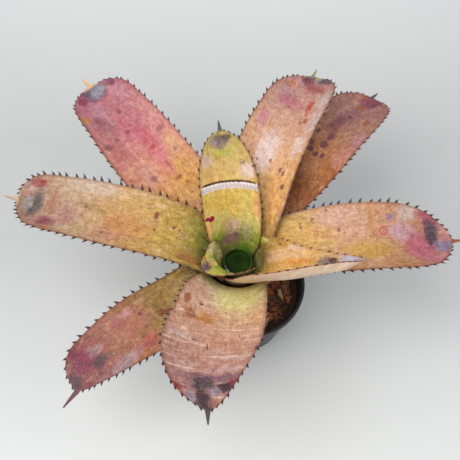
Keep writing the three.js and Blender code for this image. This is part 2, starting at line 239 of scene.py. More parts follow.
# All sizes in mm. The form is that of the solids: nested cones for the cup, then a strap to the tip.
pith = {"x": -9, "y": 0, "firstRadius": 16, "firstLeaf": 80, "leafStep": 3, "taper": 1.1,
        "sides": 20, "gap": 0.3}
cup = {"mouthHeight": 143, "mouthRise": 1.2, "mouthRadius": 39, "layer": 2.1, "bulge": 0.3,
       "thick": 1.3, "clasp": 1.5}
# along the blade, shares run from 0 at the cup's mouth to 1 at the tip
blade = {"thick": 2.0, "margin": 0.9, "firmBy": 0.3, "slimFrom": 0.8, "wideBy": 0.45, "narrowFrom": 0.4,
         "freeBy": 0.4, "flatFrom": 0.45, "roundness": 2.4, "tipHalfWidth": 2.1, "tipPoint": 0.45,
         "bladeRows": 150, "sheathRows": 14, "spikeRows": 10, "columns": 36, "marginSteps": 900,
         "uvUnit": 100, "probeAlong": 0.004, "probeAcross": 0.05}
waves = {"height": 0.7, "size": 26, "edgeHeight": 0.5, "edgeSize": 9, "from": (0.04, 0.25), "hoodLength": 13}
ripples = {"height": 0.42, "size": (3.4, 26), "fineSize": (1.7, 15), "fineShare": 0.5,
           "from": (0.3, 0.45), "to": (0.9, 1)}
kink = {"at": 95, "tilt": 2.0, "bow": -2.5, "band": 5.5, "lip": 0.5, "fold": 0.3, "rise": 1.3,
        "pitDepth": 0.7, "pitAt": 0.6, "pitWide": 0.8}
spineLook = {"pitch": 7.6, "tipPitch": 4.6, "spacing": (0.75, 1.25), "height": 3.3, "heights": (0.7, 1.15),
             "tipShare": 0.7, "tipFrom": 0.6, "rootLong": 1.7, "rootThick": 0.45, "start": 4, "stop": 1.2,
             "from": {"leaf_10": -0.3, "others": 0.1}, "fadeIn": 0.1, "probe": 0.006, "sides": 7, "seed": 40,
             "steps": [(0.85, 0.1, 0.74), (0.9, 0.35, 0.6), (1.1, 0.75, 0.35)]}

leaves = {
    "leaf_01": dict(age="old", azimuth=56, sway=-19, path=[(70, 156), (130, 170), (205, 158)],
                    mouth=29, half=25, shoulder=24, trough=60, tipTrough=34, roll=0, end=38, point=9,
                    rightRim=dict(mouth=21, half=34, shoulder=32)),
    "leaf_02": dict(age="old", azimuth=220, sway=4, path=[(66, 144), (118, 146), (182, 121)],
                    mouth=24, half=28, shoulder=28, trough=60, tipTrough=34, roll=0, end=28, point=17,
                    leftRim=dict(end=80, roundness=1.15)),
    "leaf_03": dict(age="ripe", azimuth=2, sway=-6, path=[(70, 162), (120, 172), (178, 166)],
                    mouth=34, half=32, shoulder=28, trough=60, tipTrough=30, roll=0,
                    end=44, roundness=2, point=8,
                    rightRim=dict(mouth=22, half=30, shoulder=31)),
    "leaf_04": dict(age="old", azimuth=133, sway=-2, path=[(70, 168), (130, 188), (202, 188)],
                    mouth=32, half=29, shoulder=28, trough=60, tipTrough=40, roll=0, end=28, point=12,
                    leftRim=dict(half=41, shoulder=28)),
    "leaf_05": dict(age="ripe", azimuth=252, sway=28, path=[(58, 182), (102, 206), (152, 222)],
                    mouth=35, half=38, shoulder=26, trough=70, tipTrough=50, roll=0,
                    end=62, roundness=1.5, point=9,
                    rightRim=dict(mouth=24, half=30, shoulder=48, end=54, roundness=2)),
    "leaf_06": dict(age="ripe", azimuth=74, sway=-24, path=[(62, 178), (116, 192), (168, 192)],
                    mouth=28, half=29, shoulder=26, trough=50, tipTrough=28, roll=0, end=30, point=8,
                    rightRim=dict(shoulder=34)),
    "leaf_07": dict(age="ripe", azimuth=175, sway=-18, path=[(56, 177), (122, 189), (190, 180)],
                    mouth=27, half=28, shoulder=25, trough=55, tipTrough=30, roll=0, end=28, point=12),
    "leaf_08": dict(age="young", azimuth=311, sway=48, path=[(42, 175), (64, 192), (90, 209)],
                    mouth=37, half=24, shoulder=12, trough=32, tipTrough=10, roll=-30, end=20, point=4,
                    rightRim=dict(mouth=33, half=33, shoulder=14)),
    "leaf_09": dict(age="young", azimuth=101, sway=0, path=[(36, 180), (60, 204), (85, 218)],
                    mouth=26, half=25, shoulder=21, trough=40, tipTrough=26, roll=0,
                    end=36, roundness=2, point=8),
    "leaf_10": dict(age="young", azimuth=218, sway=0, path=[(24, 157), (31, 162), (38, 165)],
                    mouth=36, half=18, shoulder=16, trough=20, tipTrough=16, roll=0, end=17, point=3,
                    rightRim=dict(mouth=24, half=12, shoulder=12)),
}

def curveThrough(places, steps=600, fineSteps=2000):
    # a smooth line through the places, evenly spaced along its length
    def at(t):
        n = len(places) - 1
        p = t * n
        i = min(int(p), n - 1)
        w = p - i
        a, b = places[max(i - 1, 0)], places[i]
        c, d = places[i + 1], places[min(i + 2, n)]
        values = []
        for k in (0, 1):
            s0, s1 = (c[k] - a[k]) / 2, (d[k] - b[k]) / 2
            values.append((2 * b[k] - 2 * c[k] + s0 + s1) * w ** 3
                          + (-3 * b[k] + 3 * c[k] - 2 * s0 - s1) * w ** 2 + s0 * w + b[k])
        return values
    fine = np.array([at(k / fineSteps) for k in range(fineSteps + 1)])
    run = np.concatenate([[0], np.cumsum(np.linalg.norm(np.diff(fine, axis=0), axis=1))])
    even = np.linspace(0, run[-1], steps + 1)
    line = np.stack([np.interp(even, run, fine[:, k]) for k in (0, 1)], 1)
    return line, run[-1]


class leafForm:
    # the form of one leaf: u runs along the midrib from foot to tip, q across from -1 to 1
    def __init__(self, name):
        self.leaf = leaf = leaves[name]
        self.name = name
        self.order = int(name[-2:]) - 1
        foot = pith["firstLeaf"] + pith["leafStep"] * self.order
        self.footRadius = (pith["firstRadius"] - pith["taper"] * self.order
                           + pith["gap"] / math.cos(math.pi / pith["sides"]))
        self.mouthRadius = cup["mouthRadius"] - cup["layer"] * self.order
        mouthHeight = cup["mouthHeight"] + cup["mouthRise"] * self.order
        rise = self.mouthRadius - self.footRadius
        cone = [(self.footRadius + rise * (s + cup["bulge"] * s * (1 - s)), lerp(foot, mouthHeight, s))
                for s in (0, 0.25, 0.5, 0.75, 1)]
        self.line, self.length = curveThrough(cone + leaf["path"])
        self.mouth = next(k for k in range(len(self.line)) if self.line[k][0] >= self.mouthRadius)
        self.mouth /= len(self.line) - 1
        self.tip = 1 - leaf["point"] / self.length
        self.rims = {1: {**leaf, **leaf.get("leftRim", {})}, -1: {**leaf, **leaf.get("rightRim", {})}}

    def share(self, u):
        # 0 at the mouth of the cup, 1 at the tip and below 0 in the sheath
        return (u - self.mouth) / (1 - self.mouth)

    def past(self, u):
        return clamp(self.share(u))

    def rib(self, u):
        # place and heading of the midrib
        k = clamp(u) * (len(self.line) - 1)
        i = min(int(k), len(self.line) - 2)
        a, b = self.line[i], self.line[i + 1]
        step = b - a
        size = math.hypot(*step)
        return a + (k - i) * step, step / size

    def halfWidth(self, u, side):
        leaf = self.rims[1 if side > 0 else -1]
        left = (1 - u) * self.length
        spike = lerp(blade["tipPoint"], blade["tipHalfWidth"], clamp(left / leaf["point"]))
        if left <= leaf["point"]:
            return spike
        v = self.past(u)
        sheath = lerp(cup["clasp"] * self.footRadius, leaf["mouth"], smooth(u, 0, self.mouth))
        middle = lerp(leaf["mouth"], leaf["half"], smooth(v, 0, blade["wideBy"]))
        strap = lerp(middle, leaf["shoulder"], smooth(v, blade["narrowFrom"], 1))
        rounding = max(0, 1 - (left - leaf["point"]) / leaf["end"])
        power = leaf.get("roundness", blade["roundness"])
        blunt = max(0, 1 - rounding ** power) ** (1 / power)
        return max(spike, (sheath if u < self.mouth else strap) * blunt)

    def thick(self, u, q):
        v = self.past(u)
        body = lerp(cup["thick"], blade["thick"], smooth(v, 0, blade["firmBy"]))
        slim = lerp(body, blade["margin"], smooth(v, blade["slimFrom"], 1))
        return lerp(slim, blade["margin"], q * q)

    def face(self, u, q):
        leaf = self.leaf
        (r, z), (hr, hz) = self.rib(u)
        reach = q * self.halfWidth(u, q)
        v = self.past(u)
        radius = lerp(leaf["trough"], leaf["tipTrough"], smooth(v, blade["flatFrom"], 1))
        bend = reach / radius
        arcX, arcY = math.sin(bend) * radius, (1 - math.cos(bend)) * radius
        roll = math.radians(leaf["roll"]) * v * v
        arcX, arcY = (arcX * math.cos(roll) - arcY * math.sin(roll),
                      arcX * math.sin(roll) + arcY * math.cos(roll))
        turn = reach / r
        ring = Vector((r * math.cos(turn), r * math.sin(turn), z))
        strap = Vector((r - hz * arcY, arcX, z + hr * arcY))
        point = ring.lerp(strap, smooth(v, 0, blade["freeBy"]))
        point.y += leaf["sway"] * v * v
        point.rotate(Matrix.Rotation(math.radians(leaf["azimuth"]), 3, "Z"))
        return point + Vector((pith["x"], pith["y"], 0))

    def run(self, u, q):
        # distance from the foot along the leaf, on lines square to the midrib where it swings sideways
        slope = 2 * self.leaf["sway"] * self.past(u) / (self.length * (1 - self.mouth))
        return u * self.length + q * self.halfWidth(u, q) * math.sin(math.atan(slope))

    def normal(self, u, q):
        du, dq = blade["probeAlong"], blade["probeAcross"]
        ahead = self.face(min(1, u + du), q) - self.face(max(0, u - du), q)
        sideways = self.face(u, min(1, q + dq)) - self.face(u, max(-1, q - dq))
        return ahead.cross(sideways).normalized()

    def relief(self, u, q):
        # how far the real surface wanders off the smooth form
        s, t = self.run(u, q), q * self.halfWidth(u, q)
        seed = 7.3 * self.order
        fade = smooth(self.past(u), *waves["from"]) * (1 - smooth(u, self.tip - 0.02, self.tip))
        wave = noise.noise(Vector((s / waves["size"] + seed, t / waves["size"], 0.3))) * waves["height"]
        edge = noise.noise(Vector((s / waves["edgeSize"] + seed, q, 4.1))) * waves["edgeHeight"] * abs(q) ** 6
        return fade * (wave + edge) + self.tipCurl(u) + self.extraRelief(u, q, s, t)

    def tipCurl(self, u):
        # the blunt end cups upwards like a small hood, and the dried point hooks
        hood, hook = tipShapes[self.name]
        toEnd = (self.tip - u) * self.length
        lift = hood * (1 - smooth(toEnd, 0, waves["hoodLength"])) ** 1.4
        return lift + hook * clamp((u - self.tip) / (1 - self.tip)) ** 2

    def extraRelief(self, u, q, s, t):
        if self.name == "leaf_05":       # cross ripples on the front leaf
            v = self.past(u)
            (long, wide), (fineLong, fineWide) = ripples["size"], ripples["fineSize"]
            ripple = noise.noise(Vector((s / long, t / wide, 2.2)))
            ripple += ripples["fineShare"] * noise.noise(Vector((s / fineLong, t / fineWide, 6)))
            return ripples["height"] * ripple * smooth(v, *ripples["from"]) * (1 - smooth(v, *ripples["to"]))
        if self.name == "leaf_09":       # the old kink across the upright leaf
            off = s - (kink["at"] + kink["tilt"] * q + kink["bow"] * q * q)
            shelf = smooth(off, -kink["band"], -kink["fold"]) * (1 - smooth(off, -kink["fold"], kink["lip"]))
            pit = math.exp(-((off - kink["lip"] - kink["pitAt"]) / kink["pitWide"]) ** 2)
            return kink["rise"] * shelf - kink["pitDepth"] * pit
        return 0

    def rows(self):
        # shares of the length, crowded where the margins turn round the blunt end
        run, places = self.marginRun(self.mouth, (-1, 1))
        even = np.interp(np.linspace(0, run[-1], blade["bladeRows"] + 1), run, places)
        sheath = np.linspace(0, self.mouth, blade["sheathRows"] + 1)[:-1]
        spike = np.linspace(self.tip, 1, blade["spikeRows"] + 1)[1:]
        return list(sheath) + list(even) + list(spike)

    def marginRun(self, start, sides):
        # distance travelled along the margin, the longer one where there are two
        places = np.linspace(start, self.tip, blade["marginSteps"])
        steps = [np.linalg.norm(np.diff([self.face(u, q) for u in places], axis=0), axis=1) for q in sides]
        return np.concatenate([[0], np.cumsum(np.max(steps, axis=0))]), places

# how far each blunt end lifts, and how far its dried point hooks up from there
tipShapes = {"leaf_01": (2.5, 1.0), "leaf_02": (2.0, -1.5), "leaf_03": (4.5, 5.0), "leaf_04": (4.0, 1.5),
             "leaf_05": (2.0, -1.0), "leaf_06": (4.0, 3.0), "leaf_07": (4.0, 1.5), "leaf_08": (3.0, 0.0),
             "leaf_09": (2.5, 1.5), "leaf_10": (0.5, 0.0)}
forms = {name: leafForm(name) for name in leaves}

def makeSpine():
    # one spine: a ring drawn out to a hooked point along Z, leaning towards X
    clearSelection()
    bpy.ops.mesh.primitive_circle_add(vertices=spineLook["sides"], radius=1, fill_type="NGON",
                                      location=(0, 0, -0.35))
    spine = nameIt("spine_model")
    bpy.ops.object.mode_set(mode="EDIT")
    bpy.ops.mesh.select_all(action="SELECT")
    for up, lean, share in spineLook["steps"]:
        bpy.ops.mesh.extrude_region_move(TRANSFORM_OT_translate={"value": (lean, 0, up)})
        bpy.ops.transform.resize(value=(share, share, share))
    bpy.ops.mesh.merge(type="CENTER")
    bpy.ops.object.mode_set(mode="OBJECT")
    settle(spine)
    return spine

def spineMaterial():
    material, tree, shader, place = newMaterial("spine_horn")
    colour = rampOf(tree, noiseOf(tree, place, 900, 2), [(0.3, "1d1114"), (0.7, "3e1e22")])
    plug(tree, shader, {"Base Color": colour, "Roughness": 0.55})
    return material

spineModel = makeSpine()
spineTop = max(v.co.z for v in spineModel.data.vertices)
horn = spineMaterial()

def addSpines(form, long):
    # spines on both margins, closer together towards the tip
    dice = random.Random(spineLook["seed"] + form.order)
    first = spineLook["from"].get(form.name, spineLook["from"]["others"])
    copies = []
    for q in (-1, 1):
        run, places = form.marginRun(lerp(form.mouth, 1, first), (q,))
        reach = dice.random() * spineLook["start"]
        while reach < run[-1] - spineLook["stop"]:
            u = float(np.interp(reach, run, places))
            nearTip = smooth(reach / run[-1], spineLook["tipFrom"], 1)
            pitch = lerp(spineLook["pitch"], spineLook["tipPitch"], nearTip)
            reach += pitch * dice.uniform(*spineLook["spacing"])
            ahead, behind = min(u + spineLook["probe"], form.tip), u - spineLook["probe"]
            along = (form.face(ahead, q) - form.face(behind, q)).normalized()
            out = form.face(u, q) - form.face(u, 0.9 * q)
            out = (out - out.dot(along) * along).normalized()
            flat = out.cross(along).normalized()
            tall = spineLook["height"] * long * dice.uniform(*spineLook["heights"])
            tall *= lerp(1, spineLook["tipShare"], nearTip)
            tall *= smooth(form.share(u), first - spineLook["fadeIn"], first + spineLook["fadeIn"])
            root = form.face(u, q) + form.normal(u, q) * (form.relief(u, q) - form.thick(u, q) / 2)
            axes = (along * spineLook["rootLong"], flat * spineLook["rootThick"], out * tall / spineTop, root)
            mesh = spineModel.data.copy()
            mesh.transform(Matrix([[part * mm for part in row] for row in zip(*axes)] + [[0, 0, 0, 1]]))
            mesh.materials.append(horn)
            copies.append(addPiece("spine", mesh))
    return copies

def makeBlade(form):
    rows, columns = form.rows(), blade["columns"]
    clearSelection()
    bpy.ops.mesh.primitive_grid_add(x_subdivisions=len(rows) - 1, y_subdivisions=columns, size=1)
    piece = nameIt(form.name.replace("leaf", "blade"))
    mesh = piece.data
    mesh.uv_layers[0].name = "blade"
    thickGroup = piece.vertex_groups.new(name="thick")
    flat, seen, onLeaf = {}, [], []
    for vertex in mesh.vertices:
        u = rows[round((vertex.co.x + 0.5) * (len(rows) - 1))]
        q = clamp(vertex.co.y * 2, -1, 1)
        point = form.face(u, q) + form.normal(u, q) * form.relief(u, q)
        left = (1 - u) * form.length / form.leaf["point"]
        onLeaf += [form.share(u), q, min(left, 3)]
        thickGroup.add([vertex.index], form.thick(u, q) / blade["thick"], "REPLACE")
        flat[vertex.index] = ((form.run(u, q) - form.mouth * form.length) / blade["uvUnit"],
                              q * form.halfWidth(u, q) / blade["uvUnit"])
        vertex.co = point * mm
        seen.append((*seenAt(point * mm), *flat[vertex.index], u, q))
    for corner in mesh.loops:
        mesh.uv_layers[0].data[corner.index].uv = flat[corner.vertex_index]
    mesh.attributes.new("leafPlace", "FLOAT_VECTOR", "POINT")
    mesh.attributes["leafPlace"].data.foreach_set("vector", onLeaf)
    form.seen = np.array(seen)
    wall = piece.modifiers.new("wall", "SOLIDIFY")
    wall.thickness = blade["thick"] * mm
    wall.offset = -1
    wall.vertex_group = "thick"
    wall.material_offset = 1
    wall.material_offset_rim = 2
    return piece


# leaf colours

# patches on a leaf are made a little larger than typed; a ring is a band in the fall from middle to edge
patchLook = {"growth": 1.35, "ringAt": 0.35, "ringFades": (0.32, 0.05), "frayedFrom": 0.12,
             "nearby": 0.06, "leastScale": 20}

def nearestOn(form, at):
    # what a leaf's vertex nearest to a pixel holds: pixel, place on the leaf, shares along and across
    away = np.hypot(form.seen[:, 0] - at[0], form.seen[:, 1] - at[1])
    return [float(value) for value in form.seen[int(np.argmin(away))]]

def placeOnLeaf(form, at):
    # a seen point's place on the leaf, and the pixels to a unit along and across it there
    here = nearestOn(form, at)[2:4]
    away = form.seen[:, 2:4] - here
    near = np.all(np.abs(away) < patchLook["nearby"], axis=1)
    design = np.column_stack([away[near], np.ones(near.sum())])
    slopes = np.linalg.lstsq(design, form.seen[near, :2], rcond=None)[0]
    return here, [max(float(np.hypot(*slope)), patchLook["leastScale"]) for slope in slopes[:2]]

# How each leaf looks. A mark is where the camera sees it, its reach along and across the leaf in pixels,
# its tint, and its strength where that isn't the usual one.
looks = {
    "leaf_01": dict(
        tone=(0.8, 0.68, 0.77),
        run=[(0, "8a5a20"), (0.25, "a06a2c"), (0.5, "b98858"), (0.75, "b58a72"), (1, "a87a72")],
        spike="5b4a52", gloss=0.42, long=0.9, spotted=0.85,
        marks=[((300, 192), (26, 22), "7c4c14"), ((335, 165), (20, 14), "a8743e", 0.7),
               ((350, 116), (18, 12), "9a7070"), ((345, 157), (16, 12), "cc9884"),
               ((362, 140), (12, 10), "c49a98"), ((378, 135), (12, 5), "c8a074"),
               ((374, 101), (12, 10), "6c2c4c", 0.9), ((368, 105), (9, 8), "a5606c", 0.6),
               ((352, 106), (16, 4), "c8a48c", 0.7), ((336, 125), (14, 6), "80484c", 0.7)]),
    "leaf_02": dict(
        tone=(0.62, 0.56, 0.66),
        run=[(0, "7c7434"), (0.3, "a08a44"), (0.5, "b47850"), (0.75, "b06a60"), (1, "8c5064")],
        spike="6a3e4a", gloss=0.45, long=1.0, blushed=0.5, blush="a04254",
        marks=[((166, 290), (30, 20), "a58c42", 0.9), ((170, 330), (20, 8), "b09048", 0.8),
               ((128, 322), (26, 18), "c07a5c", 0.8), ((123, 314), (14, 6), "d8a898"),
               ((117, 323), (10, 7), "b26658"), ((150, 341), (14, 8), "cc625a", 0.7),
               ((140, 350), (18, 8), "b8745a", 0.6), ((70, 352), (5, 20), "7c2c48", 0.7),
               ((84, 362), (17, 16), "9c385c", 0.9), ((92, 345), (12, 8), "b4665c", 0.7),
               ((95, 350), (10, 6), "c0aaa2", 0.7), ((125, 365), (24, 9), "c0a8a6", 0.85),
               ((101, 362), (12, 7), "54444e", 0.85), ((143, 357), (16, 4), "c88c50", 0.7),
               ((163, 311), (9, 5), "84361e", 0.75), ((73, 384), (12, 10), "5c3c4c", 0.9),
               ((104, 375), (18, 3), "b08c90", 0.6)]),
    "leaf_03": dict(
        tone=(0.69, 0.73, 0.93),
        run=[(0, "b89440"), (0.3, "d0a058"), (0.5, "d8a072"), (0.7, "d49860"), (1, "d88080")],
        spike="8a4a20", gloss=0.4, long=1.15, spotted=0.7,
        marks=[((300, 238), (26, 20), "d8a850", 0.8), ((335, 215), (24, 12), "d8a084", 0.8),
               ((350, 232), (20, 14), "dca07a", 0.6), ((372, 214), (7, 28), "d0904e", 0.8),
               ((406, 212), (13, 10), "e8cab0", 0.8), ((402, 232), (15, 12), "dcacac", 0.8),
               ((370, 250), (30, 11), "d8a440", 0.85), ((398, 262), (20, 5), "cc9250", 0.7),
               ((420, 247), (18, 16), "d4687a", 0.8), ((427, 216), (13, 8), "bc4a62", 0.75),
               ((428, 223), (7, 5), "84385a", 0.8), ((431, 235), (8, 14), "50424e", 0.95),
               ((444, 246), (12, 7), "928ca0", 0.85), ((433, 258), (14, 5), "e08088", 0.8),
               ((389, 217), (5, 4), "a0829c", 0.8)]),
    "leaf_04": dict(
        tone=(0.74, 0.78, 1.02),
        run=[(0, "c08a34"), (0.25, "dca058"), (0.5, "d88a74"), (0.75, "d4827c"), (1, "c46c7e")],
        spike="d8a878", gloss=0.45, long=0.75, blushed=0.6, blush="c8445e", spotted=0.55,
        marks=[((186, 172), (26, 18), "d49a42", 0.85), ((174, 140), (16, 8), "dca468", 0.8),
               ((150, 108), (16, 6), "dc9880", 0.7), ((132, 118), (22, 12), "cf7c78", 0.7),
               ((150, 143), (28, 9), "cc5860", 0.7), ((130, 130), (18, 9), "d06874", 0.65),
               ((162, 160), (22, 8), "dc7c78", 0.6), ((105, 126), (15, 10), "a4686a", 0.65),
               ((120, 150), (18, 8), "c07468", 0.7), ((148, 176), (16, 9), "d69a82", 0.7),
               ((98, 112), (14, 9), "cf989c", 0.6), ((119, 91), (10, 9), "e0a4a0", 0.7),
               ((86, 121), (5, 6), "e09a4c", 0.8), ((92, 90), (13, 16), "5e5662", 0.92),
               ((98, 92), (7, 9), "a8aca8", 0.9), ((110, 81), (8, 5), "8c3850", 0.9),
               ((82, 103), (6, 6), "96384e", 0.9)]),
    "leaf_05": dict(
        tone=(0.62, 0.63, 0.73),
        run=[(0, "b4b468"), (0.2, "dccc98"), (0.45, "e0aa86"), (0.75, "dca088"), (1, "a06c78")],
        spike="4a3a42", gloss=0.42, long=0.8, crossed=0.75, woven=0.35,
        marks=[((240, 296), (18, 26), "f8f09c", 0.95), ((195, 286), (14, 20), "dfae96", 0.9),
               ((255, 316), (14, 12), "e8b47c", 0.7), ((225, 322), (20, 22), "e2ac80", 0.6),
               ((190, 313), (6, 9), "a8602e", 0.9), ((205, 319), (7, 12), "d08838", 0.9),
               ((180, 332), (3, 18), "ecd4c4", 0.4), ((188, 338), (2, 16), "e8ccbc", 0.35),
               ((240, 357), (3, 30), "ecd0bc", 0.4), ((185, 362), (3, 22), "e4c4b4", 0.4),
               ((228, 370), (3, 26), "e8cac0", 0.45), ((225, 344), (8, 26), "e0a07c", 0.6),
               ((200, 376), (4, 30), "b07680", 0.8), ((232, 378), (5, 24), "96707c", 0.9),
               ((203, 383), (8, 15), "4c424c", 0.95), ((230, 387), (7, 20), "46283c", 0.97),
               ((176, 386), (6, 8), "b03c42", 0.9), ((243, 388), (6, 9), "a03448", 0.9),
               ((202, 398), (12, 9), "4c3a44", 0.95), ((191, 398), (9, 6), "ccb6c0", 0.85),
               ((214, 391), (5, 6), "b0a8b0", 0.7), ((226, 398), (6, 6), "dc9690", 0.8),
               ((216, 403), (6, 4), "dc9a70", 0.85), ((206, 411), (9, 8), "4a3a42", 0.95)]),
    "leaf_06": dict(
        tone=(0.78, 0.82, 1.0),
        run=[(0, "a07c30"), (0.3, "d8a058"), (0.5, "dea87c"), (0.8, "dca488"), (1, "b87c84")],
        spike="8a7a5c", gloss=0.42, long=0.85,
        marks=[((275, 196), (30, 12), "dca258", 0.85), ((266, 150), (26, 13), "eaccb8", 0.9),
               ((262, 118), (10, 6), "dc8c9a", 0.7), ((287, 94), (14, 12), "cc9692", 0.8),
               ((292, 103), (8, 14), "cc7078", 0.7), ((316, 90), (6, 12), "b4544e", 0.8),
               ((309, 108), (10, 3), "c83c30", 0.8), ((292, 84), (5, 8), "dc9050", 0.7),
               ((308, 81), (6, 8), "742842", 0.95), ((322, 80), (5, 18), "5c5660", 0.95),
               ((324, 102), (12, 6), "e4cab8", 0.8), ((313, 122), (14, 6), "dcc2b2", 0.75),
               ((298, 146), (14, 6), "e6ccb8", 0.7), ((250, 118), (14, 4), "e2b274", 0.6)]),
    "leaf_07": dict(
        tone=(0.61, 0.56, 0.66),
        run=[(0, "808634"), (0.2, "c0aa44"), (0.45, "dcb060"), (0.7, "e2c898"), (1, "c88c84")],
        spike="b8a080", gloss=0.45, long=1.35,
        marks=[((196, 232), (14, 16), "b4b046", 0.85), ((201, 240), (8, 8), "7c8c22", 0.85),
               ((190, 260), (16, 7), "a87034", 0.8), ((170, 225), (16, 14), "c8a848", 0.7),
               ((146, 190), (18, 8), "e0c488", 0.8), ((95, 186), (32, 10), "e8d8b4", 0.85),
               ((90, 208), (22, 4), "b8a04c", 0.7), ((124, 226), (26, 14), "d89a54", 0.7),
               ((108, 235), (20, 8), "d4987c", 0.6), ((66, 215), (12, 14), "d09c90", 0.7),
               ((53, 204), (7, 18), "d09070", 0.6), ((39, 184), (9, 5), "c05c5a", 0.85),
               ((45, 221), (11, 7), "a84468", 0.85), ((45, 227), (7, 4), "d48850", 0.7),
               ((36, 204), (8, 17), "5e6460", 0.9), ((28, 203), (6, 9), "c0c0b4", 0.9),
               ((20, 199), (6, 5), "b8a47c", 0.8), ((90, 245), (26, 6), "d8bc94", 0.6)]),
    "leaf_08": dict(
        tone=(0.83, 0.84, 1.05),
        run=[(0, "8a7430"), (0.25, "d0a048"), (0.5, "e0ac58"), (0.8, "d8b080"), (1, "c8c0c0")],
        spike="b0a8a8", gloss=0.45, long=0.5, edge=0.25,
        marks=[((280, 256), (24, 8), "e4bc8c", 0.65), ((297, 246), (12, 4), "e8c8a8", 0.7),
               ((298, 262), (20, 5), "dc9840", 0.8), ((285, 275), (26, 4), "ecc8b0", 0.7),
               ((264, 257), (8, 5), "7c5a34", 0.7), ((262, 240), (6, 4), "c4cc64", 0.7),
               ((325, 262), (10, 5), "6e6c62", 0.85), ((334, 260), (7, 4), "5c2c18", 0.95),
               ((352, 260), (13, 8), "ccc6c6", 0.9), ((361, 265), (5, 4), "d8a0a0", 0.8)]),
    "leaf_09": dict(
        tone=(0.86, 0.78, 0.94), pricked=0.6, blushed=0.15, mauve=0.12,
        run=[(0, "8ca43c"), (0.04, "a8b050"), (0.1, "c0be68"), (0.35, "d4c458"), (0.6, "dcc068"),
             (1, "c0b850")],
        spike="4c4a48", gloss=0.38, long=0.6,
        marks=[((248, 250), (7, 10), "4c8414", 0.7), ((212, 244), (8, 8), "9cb43c", 0.8),
               ((232, 226), (10, 10), "bca488", 0.8), ((231, 238), (6, 13), "8c6c6c", 0.85),
               ((247, 232), (10, 6), "a8a87c", 0.7), ((225, 200), (12, 18), "c8ac44", 0.8),
               ((235, 211), (4, 4), "dcb42c", 0.6), ((204, 228), (16, 5), "f0bc78", 0.85),
               ((256, 206), (14, 4), "e2a06e", 0.8), ((214, 176), (10, 14), "dcb868", 0.7),
               ((206, 161), (9, 5), "e0d0b4", 0.85), ((247, 170), (10, 9), "ecd8bc", 0.9),
               ((224, 151), (7, 13), "bcc444", 0.8), ((219, 142), (8, 11), "807268", 0.9),
               ((226, 138), (5, 7), "5c523c", 0.8), ((214, 143), (4, 4), "aca4a0", 0.8)]),
    "leaf_10": dict(
        tone=(1.35, 1.15, 1.4),
        run=[(0, "4c6c1c"), (0.2, "70882c"), (0.5, "a4a850"), (0.8, "b4ac50"), (1, "8c7c4c")],
        spike="5a4c4c", gloss=0.35, long=0.3, edge=0.2,
        marks=[((210, 248), (9, 7), "b0b080", 0.7), ((217, 253), (6, 9), "a8ae7c", 0.85),
               ((204, 254), (5, 7), "bcb04c", 0.8), ((206, 266), (8, 6), "4a3c48", 0.95),
               ((203, 259), (4, 3), "7c6040", 0.7), ((217, 273), (5, 8), "a8b84c", 0.8),
               ((212, 264), (6, 3), "a08c4c", 0.6)]),
}

# small round spots by kind: where the camera sees each, and its reach along and across in pixels
spots = {
    "leaf_01": dict(
        purple=[((331, 136), (5, 3)), ((323, 144), (4, 4)), ((311, 148), (3, 3)), ((316, 155), (3, 3)),
                ((322, 155), (3, 2)), ((313, 142), (3, 2)), ((319, 130), (3, 1.5)), ((350, 117), (2, 2))],
        rust=[((362, 109), (3, 3)), ((366, 123), (4, 3)), ((364, 96), (2, 4))]),
    "leaf_02": dict(purple=[((140, 314), (2, 2)), ((103, 363), (2, 3))], rust=[((155, 318), (2, 2))]),
    "leaf_03": dict(
        purple=[((339, 229), (2, 2)), ((300, 227), (1.5, 1.5)), ((300, 223), (1.5, 1)),
                ((326, 210), (1.5, 1.5)), ((312, 219), (1.5, 1.5))],
        ring=[((383, 231), (4, 4)), ((316, 233), (2.2, 3))]),
    "leaf_04": dict(
        purple=[((108, 147), (4, 4)), ((118, 111), (3, 2.5)), ((98, 122), (3, 3)), ((160, 128), (3, 4)),
                ((117, 140), (2, 2)), ((127, 132), (2, 2)), ((155, 178), (3, 3)), ((130, 126), (1.5, 1.5)),
                ((175, 148), (2, 2))],
        red=[((152, 147), (2, 4)), ((168, 164), (4, 1.5)), ((173, 168), (2, 1)), ((179, 176), (2, 4)),
             ((187, 181), (1.5, 1.5)), ((131, 180), (1.5, 1.5))]),
    "leaf_05": dict(
        rust=[((187, 297), (5, 4))],
        purple=[((257, 347), (3, 2.5)), ((206, 347), (3, 1)), ((202, 304), (1.5, 2)),
                ((194, 339), (1, 2.5))]),
    "leaf_06": dict(
        purple=[((280, 170), (3, 1.5)), ((283, 174), (3, 1.2)), ((281, 187), (3, 2))],
        rust=[((306, 121), (3, 2)), ((300, 123), (2, 1.5)), ((271, 161), (2, 1.5)), ((316, 126), (2, 1.5))]),
    "leaf_07": dict(
        crimson=[((156, 216), (2.5, 4))],
        purple=[((179, 231), (1.2, 1.2)), ((173, 228), (1.5, 1.5)), ((86, 207), (1.5, 1.2)),
                ((101, 232), (1.2, 1.2))],
        red=[((154, 230), (1.5, 1.5)), ((44, 181), (3, 1.5))]),
    "leaf_08": dict(purple=[((280, 244), (1.2, 1.2))]),
    "leaf_09": dict(purple=[((253, 166), (1.5, 1.5))]),
    "leaf_10": dict(),
}
spotTints = {"purple": "683044", "rust": "98482c", "red": "8c1810", "ring": "b83858", "crimson": "7c0c28"}

